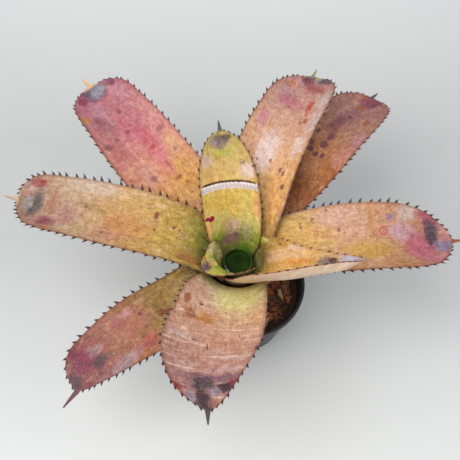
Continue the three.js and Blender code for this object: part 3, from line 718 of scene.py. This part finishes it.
def patchOn(form, tree, coords, at, size, strength, soft, ring=False, fray=None):
    # 1 in the middle of an ellipse on the leaf and 0 outside it; a fray roughens its edge
    centre, scales = placeOnLeaf(form, at)
    mapping = addNode(tree, "ShaderNodeMapping", vector_type="TEXTURE")
    reach = [patchLook["growth"] * side / scale for side, scale in zip(size, scales)]
    moved = plug(tree, mapping, {"Vector": coords, "Location": (*centre, 0), "Scale": (*reach, 1)})[0]
    node = addNode(tree, "ShaderNodeTexGradient", gradient_type="SPHERICAL")
    ball = plug(tree, node, {0: moved})["Fac"]
    if ring:
        off = maths(tree, "ABSOLUTE", maths(tree, "SUBTRACT", ball, patchLook["ringAt"]))
        return ranged(tree, off, *patchLook["ringFades"], to=(0, strength))
    first = 0
    if fray:
        ball, first = maths(tree, "ADD", ball, fray), patchLook["frayedFrom"]
    return ranged(tree, ball, first, first + soft, to=(0, strength))

def wander(tree, coords, scale, reach):
    # moves the coordinates about by a noise, so that no patch has a clean outline
    drift = noiseOf(tree, coords, scale, 4, 0.6, output="Color")
    node = addNode(tree, "ShaderNodeVectorMath", operation="MULTIPLY_ADD")
    centred = plug(tree, node, {0: drift, 1: (reach, reach, 0), 2: (-reach / 2, -reach / 2, 0)})[0]
    return plug(tree, addNode(tree, "ShaderNodeVectorMath", operation="ADD"), {0: coords, 1: centred})[0]

def softLayer(tree, colour, grain, strength, low=0.32, high=0.68):
    # darker and lighter by a noise, and the same on the whole
    shade = rampOf(tree, grain, [(low, "6a605c"), (high, "f4f0ea")])
    return mixIn(tree, strength, colour, shade, "SOFT_LIGHT")

# what all upper skins share, unless a leaf's own look says otherwise
skinLook = {"mauve": 0.25, "creamy": 0.35, "crossed": 0, "blotchy": 0.65, "flecked": 0.4, "blushed": 0.35,
            "scurf": 0.3, "veined": 0.18, "woven": 0.2, "scaly": 0.18, "pricked": 1.0, "marked": 0.8,
            "spotted": 0.82, "edge": 0.5, "fade": (1.35, 0.78), "inside": "6f7c34", "blush": "b8585c",
            "markSoft": 0.55, "spotSoft": 0.5}

# the noises on a leaf: scale to 10 cm, detail, roughness, and how they shrink along and across it
skinGrain = {"frays": (48, 6, 0.72, (1, 1.3, 1)), "cloud": (5, 3, 0.55), "blotch": (18, 7, 0.74),
             "rosy": (30, 7, 0.75, (0.5, 1.4, 1)), "scurf": (75, 5, 0.75, (1.5, 0.7, 1)),
             "vein": (22, 5, 0.7, (0.18, 2.8, 1)), "weave": (24, 5, 0.75, (2.8, 0.3, 1)),
             "scales": (88, 3, 0.8, (1, 0.8, 1))}
roamingGrain = {"mauve": (8, 6, 0.68, (0.7, 1.2, 1)), "cream": (13, 7, 0.72, (0.55, 1.5, 1)),
                "flecks": (34, 4, 0.7, (0.7, 1.2, 1))}
crossGrain = (15, 6, 0.66, (3.2, 0.22, 1))

# pin pricks, coarse ones and clusters of fine ones: reach is a share of a cell, and a higher pick makes fewer
pricks = [dict(scale=30, reach=0.22, pick=0.57, strength=0.9, code="7c2820"),
          dict(scale=58, reach=0.28, pick=0.45, strength=0.75, code="8c342e")]

def addPricks(tree, coords, colour, cream, look):
    for prick in pricks:
        cells = plug(tree, addNode(tree, "ShaderNodeTexVoronoi", feature="F1"),
                     {"Scale": prick["scale"], "Vector": coords})
        draw = plug(tree, addNode(tree, "ShaderNodeSeparateColor"), {0: cells["Color"]})[0]
        draw = maths(tree, "ADD", draw, maths(tree, "MULTIPLY_ADD", cream, -1.2, 0.6))
        strength = prick["strength"] * look["pricked"]
        chosen = ranged(tree, draw, prick["pick"], prick["pick"] + 0.1, to=(0, strength))
        dot = ranged(tree, cells["Distance"], prick["reach"], prick["reach"] * 0.4)
        colour = mixIn(tree, maths(tree, "MULTIPLY", dot, chosen), colour, tint(prick["code"]))
    return colour

def addMarks(form, tree, coords, colour, fray, look):
    for at, size, code, *strength in look["marks"]:
        strength = strength[0] if strength else look["marked"]
        factor = patchOn(form, tree, coords, at, size, strength, look["markSoft"], fray=fray)
        colour = mixIn(tree, factor, colour, tint(code, look["tone"]))
    return colour

def addSpots(form, tree, coords, colour, look):
    for kind, places in spots[form.name].items():
        for at, size in places:
            factor = patchOn(form, tree, coords, at, size, look["spotted"], look["spotSoft"], kind == "ring")
            colour = mixIn(tree, factor, colour, tint(spotTints[kind]))
    return colour

def upperSkin(form):
    look = {**skinLook, **looks[form.name]}
    material, tree, shader, uv = newMaterial(form.name.replace("leaf", "upper_skin"), onLeaf=True)
    place = addNode(tree, "ShaderNodeAttribute", attribute_name="leafPlace")
    along, side, left = splitOf(tree, place.outputs["Vector"])
    roaming = wander(tree, wander(tree, uv, 12, 0.09), 60, 0.03)
    grain = {name: noiseOf(tree, uv, *values) for name, values in skinGrain.items()}
    grain.update({name: noiseOf(tree, roaming, *values) for name, values in roamingGrain.items()})
    fray = maths(tree, "MULTIPLY_ADD", grain["frays"], 0.7, -0.35)

    def speckle(under, name, low, high, strength, code):
        # a tint where a noise is high
        return mixIn(tree, ranged(tree, grain[name], low, high, to=(0, strength)), under, tint(code))

    # the leaf's own run of colours from cup to tip, green inside the cup, under mauve and cream clouds
    shifted = maths(tree, "ADD", along, maths(tree, "MULTIPLY_ADD", grain["cloud"], 0.16, -0.08))
    colour = rampOf(tree, shifted, look["run"], look["tone"])
    sunk = ranged(tree, along, -0.06, -0.28, to=(0, 0.85))
    colour = mixIn(tree, sunk, colour, tint(look["inside"], look["tone"]))
    colour = speckle(colour, "mauve", 0.5, 0.68, look["mauve"], "b48c9c")
    colour = speckle(colour, "cream", 0.52, 0.68, look["creamy"], "ead2b8")
    if look["crossed"]:
        lines = noiseOf(tree, wander(tree, uv, 9, 0.04), *crossGrain)
        crossed = maths(tree, "MULTIPLY", ranged(tree, lines, 0.5, 0.7, to=(0, look["crossed"])),
                        ranged(tree, along, 0.12, 0.4))
        colour = mixIn(tree, crossed, colour, tint("f2ddd0"))

    # its patches, then blotches, flecks, pale scurf, veins along it, fine lines across it, and scales
    colour = addMarks(form, tree, roaming, colour, fray, look)
    colour = softLayer(tree, colour, grain["blotch"], look["blotchy"])
    colour = softLayer(tree, colour, grain["flecks"], look["flecked"], 0.38, 0.62)
    colour = speckle(colour, "rosy", 0.53, 0.7, look["blushed"], look["blush"])
    scurfy = maths(tree, "MULTIPLY", ranged(tree, grain["scurf"], 0.54, 0.62),
                   ranged(tree, grain["cloud"], 0.42, 0.6, to=(0.04, look["scurf"])))
    colour = mixIn(tree, scurfy, colour, tint("d8cfc6"))
    colour = softLayer(tree, colour, grain["vein"], look["veined"], 0.36, 0.64)
    colour = softLayer(tree, colour, grain["weave"], look["woven"], 0.36, 0.64)
    scaly = ranged(tree, grain["mauve"], 0.3, 0.65, to=(0.04, look["scaly"]))
    colour = softLayer(tree, colour, grain["scales"], scaly, 0.4, 0.6)

    # paler towards the cup, as painted light over the shaded bases, and deeper towards the tip, where the
    # older tissue is darker
    fade = addNode(tree, "ShaderNodeVectorMath", operation="SCALE")
    colour = plug(tree, fade, {0: colour, "Scale": ranged(tree, along, -0.1, 0.9, to=look["fade"])})[0]
    colour = addPricks(tree, roaming, colour, grain["cream"], look)
    colour = addSpots(form, tree, wander(tree, uv, 70, 0.02), colour, look)
    if form.name == "leaf_09":
        colour = kinkColours(tree, form, uv, side, colour)

    # a thin brown line along both margins, and the dried spike
    edge = ranged(tree, maths(tree, "ABSOLUTE", side), 0.9, 1.0, to=(0, look["edge"]))
    colour = mixIn(tree, edge, colour, tint("6e3226"))
    dry = ranged(tree, left, 1.2, 0.95)
    colour = mixIn(tree, dry, colour, tint(look["spike"]))

    roughness = ranged(tree, grain["blotch"], 0.3, 0.7, to=(look["gloss"] - 0.06, look["gloss"] + 0.14))
    plug(tree, shader, {"Base Color": colour, "Roughness": roughness, "Specular IOR Level": 0.4})
    bumpFrom(tree, shader, [(grain["vein"], 0.3, 0.001), (grain["blotch"], 0.3, 0.0015),
                            (grain["weave"], 0.12, 0.0005), (grain["scales"], 0.22, 0.0004)])
    return material

def kinkColours(tree, form, uv, side, colour):
    # the pale striped band under the kink, and painted shade in the gap above it
    unit = blade["uvUnit"]
    bow = maths(tree, "MULTIPLY", maths(tree, "MULTIPLY", side, side), kink["bow"] / unit)
    lean = maths(tree, "MULTIPLY", side, kink["tilt"] / unit)
    line = maths(tree, "ADD", maths(tree, "ADD", bow, lean), (kink["at"] - form.mouth * form.length) / unit)
    off = maths(tree, "SUBTRACT", splitOf(tree, uv)[0], line)
    rag = noiseOf(tree, uv, 90, 2, stretch=(0.3, 1, 1))
    off = maths(tree, "ADD", off, maths(tree, "MULTIPLY_ADD", rag, 0.02, -0.01))
    pale = rampOf(tree, noiseOf(tree, uv, 160, 2, stretch=(0.06, 1, 1)), [(0.35, "b4a4b4"), (0.6, "f4ecea")])
    foot = -kink["band"] / unit
    inBand = maths(tree, "MULTIPLY", ranged(tree, off, foot, foot + 0.008), ranged(tree, off, 0.006, 0.0))
    colour = mixIn(tree, maths(tree, "MULTIPLY", inBand, 0.9), colour, pale)
    # painted shade: the gap above the pale band is darkened where the fold shades it
    gapShade = maths(tree, "MULTIPLY", ranged(tree, off, 0.0, 0.005), ranged(tree, off, 0.022, 0.012))
    inside = ranged(tree, maths(tree, "ABSOLUTE", side), 0.98, 0.8)
    return mixIn(tree, maths(tree, "MULTIPLY", gapShade, inside), colour, tint("3a1418"))

def underSkin(name, pale, dark):
    # the backs of the leaves: duller, with fine grey cross bands of scales
    material, tree, shader, uv = newMaterial(name, onLeaf=True)
    bands = noiseOf(tree, uv, 40, 3, 0.6, stretch=(2.6, 0.22, 1))
    vein = noiseOf(tree, uv, 40, 2, stretch=(0.15, 3, 1))
    colour = rampOf(tree, noiseOf(tree, uv, 9, 5), [(0.3, dark), (0.7, pale)])
    colour = mixIn(tree, ranged(tree, bands, 0.45, 0.62, to=(0, 0.4)), colour, tint("b8b0a0"))
    veins = rampOf(tree, vein, [(0.3, "b0a090"), (0.7, "ffffff")])
    plug(tree, shader, {"Base Color": mixIn(tree, 0.35, colour, veins, "MULTIPLY"), "Roughness": 0.58})
    bumpFrom(tree, shader, [(vein, 0.4, 0.0012), (bands, 0.2, 0.0005)])
    return material

def rimSkin():
    material, tree, shader, uv = newMaterial("margin_skin", onLeaf=True)
    colour = rampOf(tree, noiseOf(tree, uv, 30, 3), [(0.35, "6e4034"), (0.65, "a87454")])
    plug(tree, shader, {"Base Color": colour, "Roughness": 0.5})
    return material

backTints = {"old": ("a8805c", "7e5a44"), "ripe": ("b09c60", "8c7844"), "young": ("94a05c", "66783a"),
             "folded": ("ecd4bc", "cfa07c")}
backs = {kind: underSkin("back_" + kind, *tints) for kind, tints in backTints.items()}
margin = rimSkin()

bladePieces = {}
for name, form in forms.items():
    age = form.leaf["age"]
    piece = makeBlade(form)
    back = backs["folded" if name == "leaf_08" else age]
    for material in (upperSkin(form), back, margin, horn):
        piece.data.materials.append(material)
    applyAll(piece)
    softEdges(piece, 50)
    bladePieces[name] = joinAs(piece.name, [piece] + addSpines(form, looks[name]["long"]))
    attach(bladePieces[name], "root")
    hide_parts(name)
bpy.data.objects.remove(spineModel)
print("ten leaves with their spines")


# the rolled leaf and the water in the cup

innerRoll = {"order": 10, "azimuth": 79, "mouthRadius": 12.3, "top": 133.5, "turn": 150, "slope": 1,
             "thick": 1.2, "foot": 110, "waver": 0.25, "columns": 64, "rows": 24}

def makeInnerLeaf():
    footRadius = (pith["firstRadius"] - pith["taper"] * innerRoll["order"]
                  + pith["gap"] / math.cos(math.pi / pith["sides"]))
    clearSelection()
    bpy.ops.mesh.primitive_grid_add(x_subdivisions=innerRoll["columns"], y_subdivisions=innerRoll["rows"],
                                    size=1)
    piece = nameIt("inner_roll")
    piece.data.uv_layers[0].name = "blade"
    for vertex in piece.data.vertices:
        side, level = vertex.co.x * 2, vertex.co.y + 0.5
        turn = side * math.radians(innerRoll["turn"])
        radius = lerp(footRadius, innerRoll["mouthRadius"], level + cup["bulge"] * level * (1 - level))
        radius += innerRoll["waver"] * noise.noise(Vector((turn * 2, level * 3, 1))) * level
        height = lerp(innerRoll["foot"], innerRoll["top"] - innerRoll["slope"] * side ** 2, level)
        angle = turn + math.radians(innerRoll["azimuth"])
        away = Vector((radius * math.cos(angle), radius * math.sin(angle), height))
        vertex.co = (Vector((pith["x"], pith["y"], 0)) + away) * mm
    wall = piece.modifiers.new("wall", "SOLIDIFY")
    wall.thickness = innerRoll["thick"] * mm
    wall.offset = -1
    applyAll(piece)
    faceOutwards(piece)
    softEdges(piece, 50)
    return piece

def wetGreen():
    # the glossy green inside of the cup
    material, tree, shader, place = newMaterial("wet_green")
    streak = noiseOf(tree, place, 300, 2, stretch=(1, 1, 0.08))
    colour = rampOf(tree, noiseOf(tree, place, 60, 4), [(0.3, "10260a"), (0.7, "2e5410")])
    streaks = rampOf(tree, streak, [(0.35, "8ca070"), (0.65, "ffffff")])
    plug(tree, shader, {"Base Color": mixIn(tree, 0.3, colour, streaks, "MULTIPLY"), "Roughness": 0.22,
                        "Coat Weight": 0.15})
    bumpFrom(tree, shader, [(streak, 0.2, 0.0006)])
    return material

innerLeaf = makeInnerLeaf()
innerLeaf.data.materials.append(wetGreen())
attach(innerLeaf, "root")
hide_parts("inner_leaf")

# the water's outline: how far in from its edge, and at what height
waterLook = {"foot": (0.72, 118), "sides": 64,
             "top": [(0.35, 130.6), (0.1, 130.8), (0.9, 130.74), (2.5, 130.7), (5, 130.68)]}

lowWater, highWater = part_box("tank_water")

def makeWater():
    radius = (highWater.x - lowWater.x) / 2 / mm
    share, foot = waterLook["foot"]
    profile = [(radius * share, foot)] + [(radius - inset, height) for inset, height in waterLook["top"]]
    piece = ringPiece("water_in_cup", profile, waterLook["sides"], centre=(pith["x"], pith["y"]))
    softEdges(piece, 60)
    return piece

def waterMaterial():
    material, tree, shader, place = newMaterial("tank_water")
    ripple = noiseOf(tree, place, 120, 2)
    colour = rampOf(tree, ripple, [(0.3, "0e1e08"), (0.7, "243c0c")])
    plug(tree, shader, {"Base Color": colour, "Roughness": 0.04, "IOR": 1.2, "Specular IOR Level": 0.25})
    bumpFrom(tree, shader, [(ripple, 0.12, 0.001)])
    return material

water = makeWater()
water.data.materials.append(waterMaterial())
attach(water, "root")
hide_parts("tank_water")
print("rolled leaf and water")


# the pot

pot = {"height": 90, "rim": 52.5, "base": 36, "wall": 1.2, "floor": 1.8, "lipHeight": 6, "lipStep": 1.5,
       "sides": 128, "holes": 6, "holeRadius": 4, "holeCircle": 23, "levels": (10, 30, 60)}

def outerRadius(height):
    return lerp(pot["base"], pot["rim"] - pot["lipStep"], height / pot["height"])

def innerRadius(height):
    return outerRadius(height) - pot["wall"]

def makePot():
    base, rim, top = pot["base"], pot["rim"], pot["height"]
    lip, mouth = top - pot["lipHeight"], innerRadius(top)
    foot = [(base - 5, 0.8), (base - 4, 0.05), (base - 1.6, 0.0), (base - 0.5, 0.4), (outerRadius(1.5), 1.6)]
    outside = [(outerRadius(z), z) for z in (*pot["levels"], lip - 1)]
    rolled = [(outerRadius(lip), lip - 0.1), (rim - 0.7, lip + 0.2), (rim - 0.25, lip + 0.8),
              (rim - 0.2, lip + 3), (rim, top - 0.9), (rim - 0.25, top - 0.25), (rim - 0.9, top),
              (mouth + 0.3, top - 0.1), (mouth, top - 0.5)]
    inside = [(innerRadius(60), 60), (innerRadius(30), 30), (innerRadius(4), 4),
              (innerRadius(2) - 1, pot["floor"]), (4, pot["floor"])]
    piece = ringPiece("nursery_pot", foot + outside + rolled + inside, pot["sides"])
    cutters = []
    for k in range(pot["holes"]):
        turn = (k + 0.5) / pot["holes"] * 2 * math.pi
        centre = Vector((math.cos(turn), math.sin(turn), 0)) * pot["holeCircle"] * mm
        clearSelection()
        bpy.ops.mesh.primitive_cylinder_add(vertices=32, radius=pot["holeRadius"] * mm, depth=0.02,
                                            location=centre)
        cutters.append(bpy.context.object)
    drill = joinAs("drill", cutters)
    holes = piece.modifiers.new("holes", "BOOLEAN")
    holes.object = drill
    holes.operation = "DIFFERENCE"
    applyAll(piece)
    bpy.data.objects.remove(drill)
    softEdges(piece, 40)
    return piece

def potPlastic():
    material, tree, shader, place = newMaterial("pot_plastic")
    stipple = noiseOf(tree, place, 1400, 2)
    scuff = noiseOf(tree, place, 90, 6, 0.7, stretch=(1, 1, 0.3))
    colour = rampOf(tree, scuff, [(0.4, "101218"), (0.75, "2c2f36")])
    plug(tree, shader, {"Base Color": colour, "Roughness": ranged(tree, scuff, 0.35, 0.7, to=(0.34, 0.55))})
    bumpFrom(tree, shader, [(stipple, 0.15, 0.0003), (scuff, 0.1, 0.0005)])
    return material

potPiece = makePot()
potPiece.data.materials.append(potPlastic())
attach(potPiece, "root")
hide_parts("pot")
print("pot")


# bark mix

mix = {"top": 75, "crown": 3, "bottom": 2.4, "wallGap": 0.5, "rings": 30, "sides": 96, "lump": 1.4}
chipLook = {"count": 150, "seed": 5, "models": 5, "long": (6, 17), "wide": (0.3, 0.6), "high": (1.6, 3.6),
            "tilt": 26, "lift": (-0.4, 1.6), "inmost": 21, "wallGap": 1.5, "goldenTurn": 2.39996,
            "kinds": (4, 3, 4, 2)}
fibreLook = {"count": 46, "seed": 71, "inmost": 22, "outmost": 43, "long": (5, 12), "reach": 46, "bow": 0.7,
             "crest": 1.5, "thick": (0.12, 0.28)}

def mixTop(share):
    return mix["top"] + mix["crown"] * (1 - share * share)

def makeBed():
    low, top = mix["bottom"], mix["top"]
    reach = innerRadius(top) - mix["wallGap"]
    foot = innerRadius(low) - mix["wallGap"] - 0.6
    profile = [(foot, low), (lerp(foot, reach, 0.5), lerp(low, top, 0.5)), (reach, top - 0.5)]
    shares = [1 - k / mix["rings"] for k in range(1, mix["rings"])]
    bed = ringPiece("bark_bed", profile + [(reach * share, mixTop(share)) for share in shares], mix["sides"])
    for vertex in bed.data.vertices:
        if vertex.co.z > (top - 0.4) * mm:
            at = vertex.co / mm
            rough = noise.noise(at / 6) + 0.6 * noise.noise(at / 2.5 + Vector((9, 0, 0)))
            vertex.co.z += mix["lump"] * rough * mm
    softEdges(bed, 30)
    return bed

def barkMaterial(name, dark, light, rough=0.85):
    material, tree, shader, place = newMaterial(name)
    grain = noiseOf(tree, place, 260, 6, 0.7, stretch=(1, 1, 2.2))
    flakes = noiseOf(tree, place, 900, 3)
    plug(tree, shader, {"Base Color": rampOf(tree, grain, [(0.35, dark), (0.68, light)]), "Roughness": rough})
    bumpFrom(tree, shader, [(grain, 0.8, 0.002), (flakes, 0.4, 0.0006)])
    return material

def makeChip(seed):
    # one bark chip: a block drawn in at its end and edges, skewed and roughened
    dice = random.Random(seed)
    clearSelection()
    bpy.ops.mesh.primitive_cube_add(size=1)
    chip = nameIt("chip_model")
    bpy.ops.object.mode_set(mode="EDIT")
    bpy.ops.mesh.select_all(action="SELECT")
    bpy.ops.mesh.subdivide(number_cuts=3)
    bpy.ops.object.mode_set(mode="OBJECT")
    narrow, skew = dice.uniform(0.4, 0.85), dice.uniform(-0.3, 0.3)
    for vertex in chip.data.vertices:
        co = vertex.co
        co.y *= lerp(1, narrow, co.x + 0.5)
        co.y += skew * co.x
        co.z *= lerp(1, 0.55, abs(co.y) * 2)
        co += 0.16 * noise.noise_vector(co * 2.3 + Vector((seed * 3.1, 0, 0)))
    edges = chip.modifiers.new("edges", "BEVEL")
    edges.width = 0.04
    edges.segments = 1
    edges.limit_method = "ANGLE"
    edges.angle_limit = math.radians(50)
    applyAll(chip)
    return chip

def scatterChips():
    # chips in a golden spiral, each a copy of one of a few models
    look, full = chipLook, 2 * math.pi
    dice = random.Random(look["seed"])
    models = [makeChip(k) for k in range(look["models"])]
    barks = [barkMaterial("bark_dark", "28160f", "744430"), barkMaterial("bark_red", "6c2c14", "cc743c"),
             barkMaterial("bark_brown", "44281c", "a87048"),
             barkMaterial("bark_tan", "a87850", "f0c89c", 0.75)]
    copies = []
    for k in range(look["count"]):
        long = dice.uniform(*look["long"])
        size = Vector((long, long * dice.uniform(*look["wide"]), dice.uniform(*look["high"])))
        reach = innerRadius(mix["top"]) - look["wallGap"] - long * 0.55
        radius = lerp(look["inmost"], reach, math.sqrt(dice.random()))
        angle = k * look["goldenTurn"]
        share = radius / outerRadius(mix["top"])
        turn = Matrix.Rotation(dice.uniform(0, full), 4, "Z")
        for axis in "YX":
            turn @= Matrix.Rotation(math.radians(dice.uniform(-look["tilt"], look["tilt"])), 4, axis)
        at = Vector((pith["x"] * (1 - share) + radius * math.cos(angle), radius * math.sin(angle),
                     mixTop(share) + dice.uniform(*look["lift"])))
        mesh = dice.choice(models).data.copy()
        mesh.transform(Matrix.Translation(at * mm) @ turn @ Matrix.Diagonal((*(size * mm), 1)))
        for bark in barks:
            mesh.materials.append(bark)
        kind = dice.choices(range(len(barks)), look["kinds"])[0]
        for polygon in mesh.polygons:
            polygon.material_index = kind
        copies.append(addPiece("chip", mesh))
    for model in models:
        bpy.data.objects.remove(model)
    chips = joinAs("bark_chips", copies)
    softEdges(chips, 30)
    return chips

bed = makeBed()
bed.data.materials.append(barkMaterial("bark_dust", "1c100c", "583422"))
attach(bed, "root")
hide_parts("potting_mix")
chips = scatterChips()
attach(chips, "root")

def layFibres():
    # thin root and coir threads lying over the bark
    look, full = fibreLook, 2 * math.pi
    dice = random.Random(look["seed"])
    threads = []
    for k in range(look["count"]):
        clearSelection()
        bpy.ops.curve.primitive_bezier_curve_add()
        thread = bpy.context.object
        angle = dice.uniform(0, full)
        radius = lerp(look["inmost"], look["outmost"], math.sqrt(dice.random()))
        long, heading = dice.uniform(*look["long"]), dice.uniform(0, full)
        middle = Vector((radius * math.cos(angle), radius * math.sin(angle), 0))
        away = Vector((math.cos(heading), math.sin(heading), 0)) * long / 2
        for point, sign in zip(thread.data.splines[0].bezier_points, (-1, 1)):
            end = middle + away * sign
            if end.length > look["reach"]:
                end *= look["reach"] / end.length
            end.z = mixTop(0.8) + dice.uniform(0, 1.2)
            sideways = Vector((-away.y, away.x, 0)) * dice.uniform(-look["bow"], look["bow"])
            point.co = end * mm
            point.handle_left_type = point.handle_right_type = "FREE"
            handle = (end - away * sign * 0.4 + sideways + Vector((0, 0, look["crest"]))) * mm
            point.handle_left = point.handle_right = handle
        thread.data.bevel_depth = dice.uniform(*look["thick"]) * mm
        thread.data.bevel_resolution = 1
        thread.data.resolution_u = 8
        useOnly(thread)
        bpy.ops.object.convert(target="MESH")
        threads.append(bpy.context.object)
    fibres = joinAs("bark_fibres", threads)
    bpy.ops.object.shade_smooth()
    return fibres

fibres = layFibres()
fibres.data.materials.append(barkMaterial("fibre", "6a4428", "b08458", 0.7))
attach(fibres, "root")

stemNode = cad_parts["stem"]
stemNode.data.materials.clear()
stemNode.data.materials.append(barkMaterial("stem_bark", "4a3a20", "8a7444"))
print("bark mix and stem")


# drops on the leaves: the leaf, where the camera sees the drop, its radius and its kind

drops = [("leaf_09", (211, 219), 3.0, "crimson"), ("leaf_09", (207, 220), 2.0, "crimson"),
         ("leaf_09", (242, 161), 2.6, "clear"), ("leaf_02", (91, 334), 1.5, "clear"),
         ("leaf_02", (114, 353), 1.7, "clear"), ("leaf_02", (133, 367), 1.2, "clear"),
         ("leaf_07", (159, 258), 2.2, "clear"), ("leaf_05", (197, 340), 1.0, "clear")]
dropShape = {"wide": 0.85, "high": 0.42, "sunk": 0.1}

def dropMaterial(name, code, clearness):
    material, tree, shader, place = newMaterial(name)
    rough = ranged(tree, noiseOf(tree, place, 500, 2), 0.3, 0.7, to=(0.02, 0.07))
    plug(tree, shader, {"Base Color": tint(code), "Roughness": rough, "Transmission Weight": clearness,
                        "IOR": 1.33})
    return material

dropKinds = {"crimson": dropMaterial("drop_crimson", "8c1838", 0.0),
             "clear": dropMaterial("drop_clear", "f0ecd0", 0.85)}

def makeDrop(index, form, at, radius, kind):
    u, q = nearestOn(form, at)[4:]
    normal = form.normal(u, q)
    centre = form.face(u, q) + normal * (form.relief(u, q) - dropShape["sunk"])
    size = Vector((radius, radius * dropShape["wide"], radius * dropShape["high"])) * mm
    clearSelection()
    bpy.ops.mesh.primitive_uv_sphere_add(segments=24, ring_count=16, radius=1)
    piece = nameIt("drop_%02d" % index)
    piece.data.transform(Matrix.Translation(centre * mm) @ normal.to_track_quat("Z", "Y").to_matrix().to_4x4()
                         @ Matrix.Diagonal((*size, 1)))
    piece.data.materials.append(dropKinds[kind])
    bpy.ops.object.shade_smooth()
    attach(piece, "root")
    return piece

for index, (leaf, *drop) in enumerate(drops, 1):
    makeDrop(index, forms[leaf], *drop)
print("drops")


# floor and light

studio = {"sky": 0.74, "skyTint": (0.97, 0.985, 1, 1), "aim": (0, 0, 0.12), "lights": {
    "key": dict(place=(-0.35, -0.3, 1.25), size=0.8, power=9.5, colour=(1, 0.985, 0.96)),
    "fill": dict(place=(0.9, -0.7, 0.9), size=0.9, power=1.2, colour=(0.95, 0.98, 1))}}

def paperWithPaintedShade():
    # near white, with painted shade: a little greyer in a soft band behind the pot
    material, tree, shader, place = newMaterial("floor_paper_painted_shade")
    paper = rampOf(tree, noiseOf(tree, place, 3, 3), [(0.3, "dadcdc"), (0.7, "dfe0df")])
    back = ranged(tree, splitOf(tree, place)[1], -0.2, 0.5, curve="LINEAR")
    band = rampOf(tree, back, [(0.05, "ffffff"), (0.42, "dededf"), (0.6, "dfdfe0"), (0.95, "fcfcfc")])
    plug(tree, shader, {"Base Color": mixIn(tree, 1.0, paper, band, "MULTIPLY"), "Roughness": 0.9,
                        "Specular IOR Level": 0.1})
    return material

clearSelection()
bpy.ops.mesh.primitive_plane_add(size=6, location=(0, 0, 0))
floor = nameIt("floor")
floor.data.materials.append(paperWithPaintedShade())

world = bpy.data.worlds.new("studio")
scene.world = world
world.use_nodes = True
sky = world.node_tree.nodes["Background"]
plug(world.node_tree, sky, {"Color": studio["skyTint"], "Strength": studio["sky"]})

for name, lamp in studio["lights"].items():
    clearSelection()
    bpy.ops.object.light_add(type="AREA", location=lamp["place"])
    light = bpy.context.object
    light.name = name
    light.data.shape = "DISK"
    light.data.size = lamp["size"]
    light.data.energy = lamp["power"]
    light.data.color = lamp["colour"]
    aim = Vector(studio["aim"]) - Vector(lamp["place"])
    light.rotation_euler = aim.to_track_quat("-Z", "Y").to_euler()
print("floor and light")
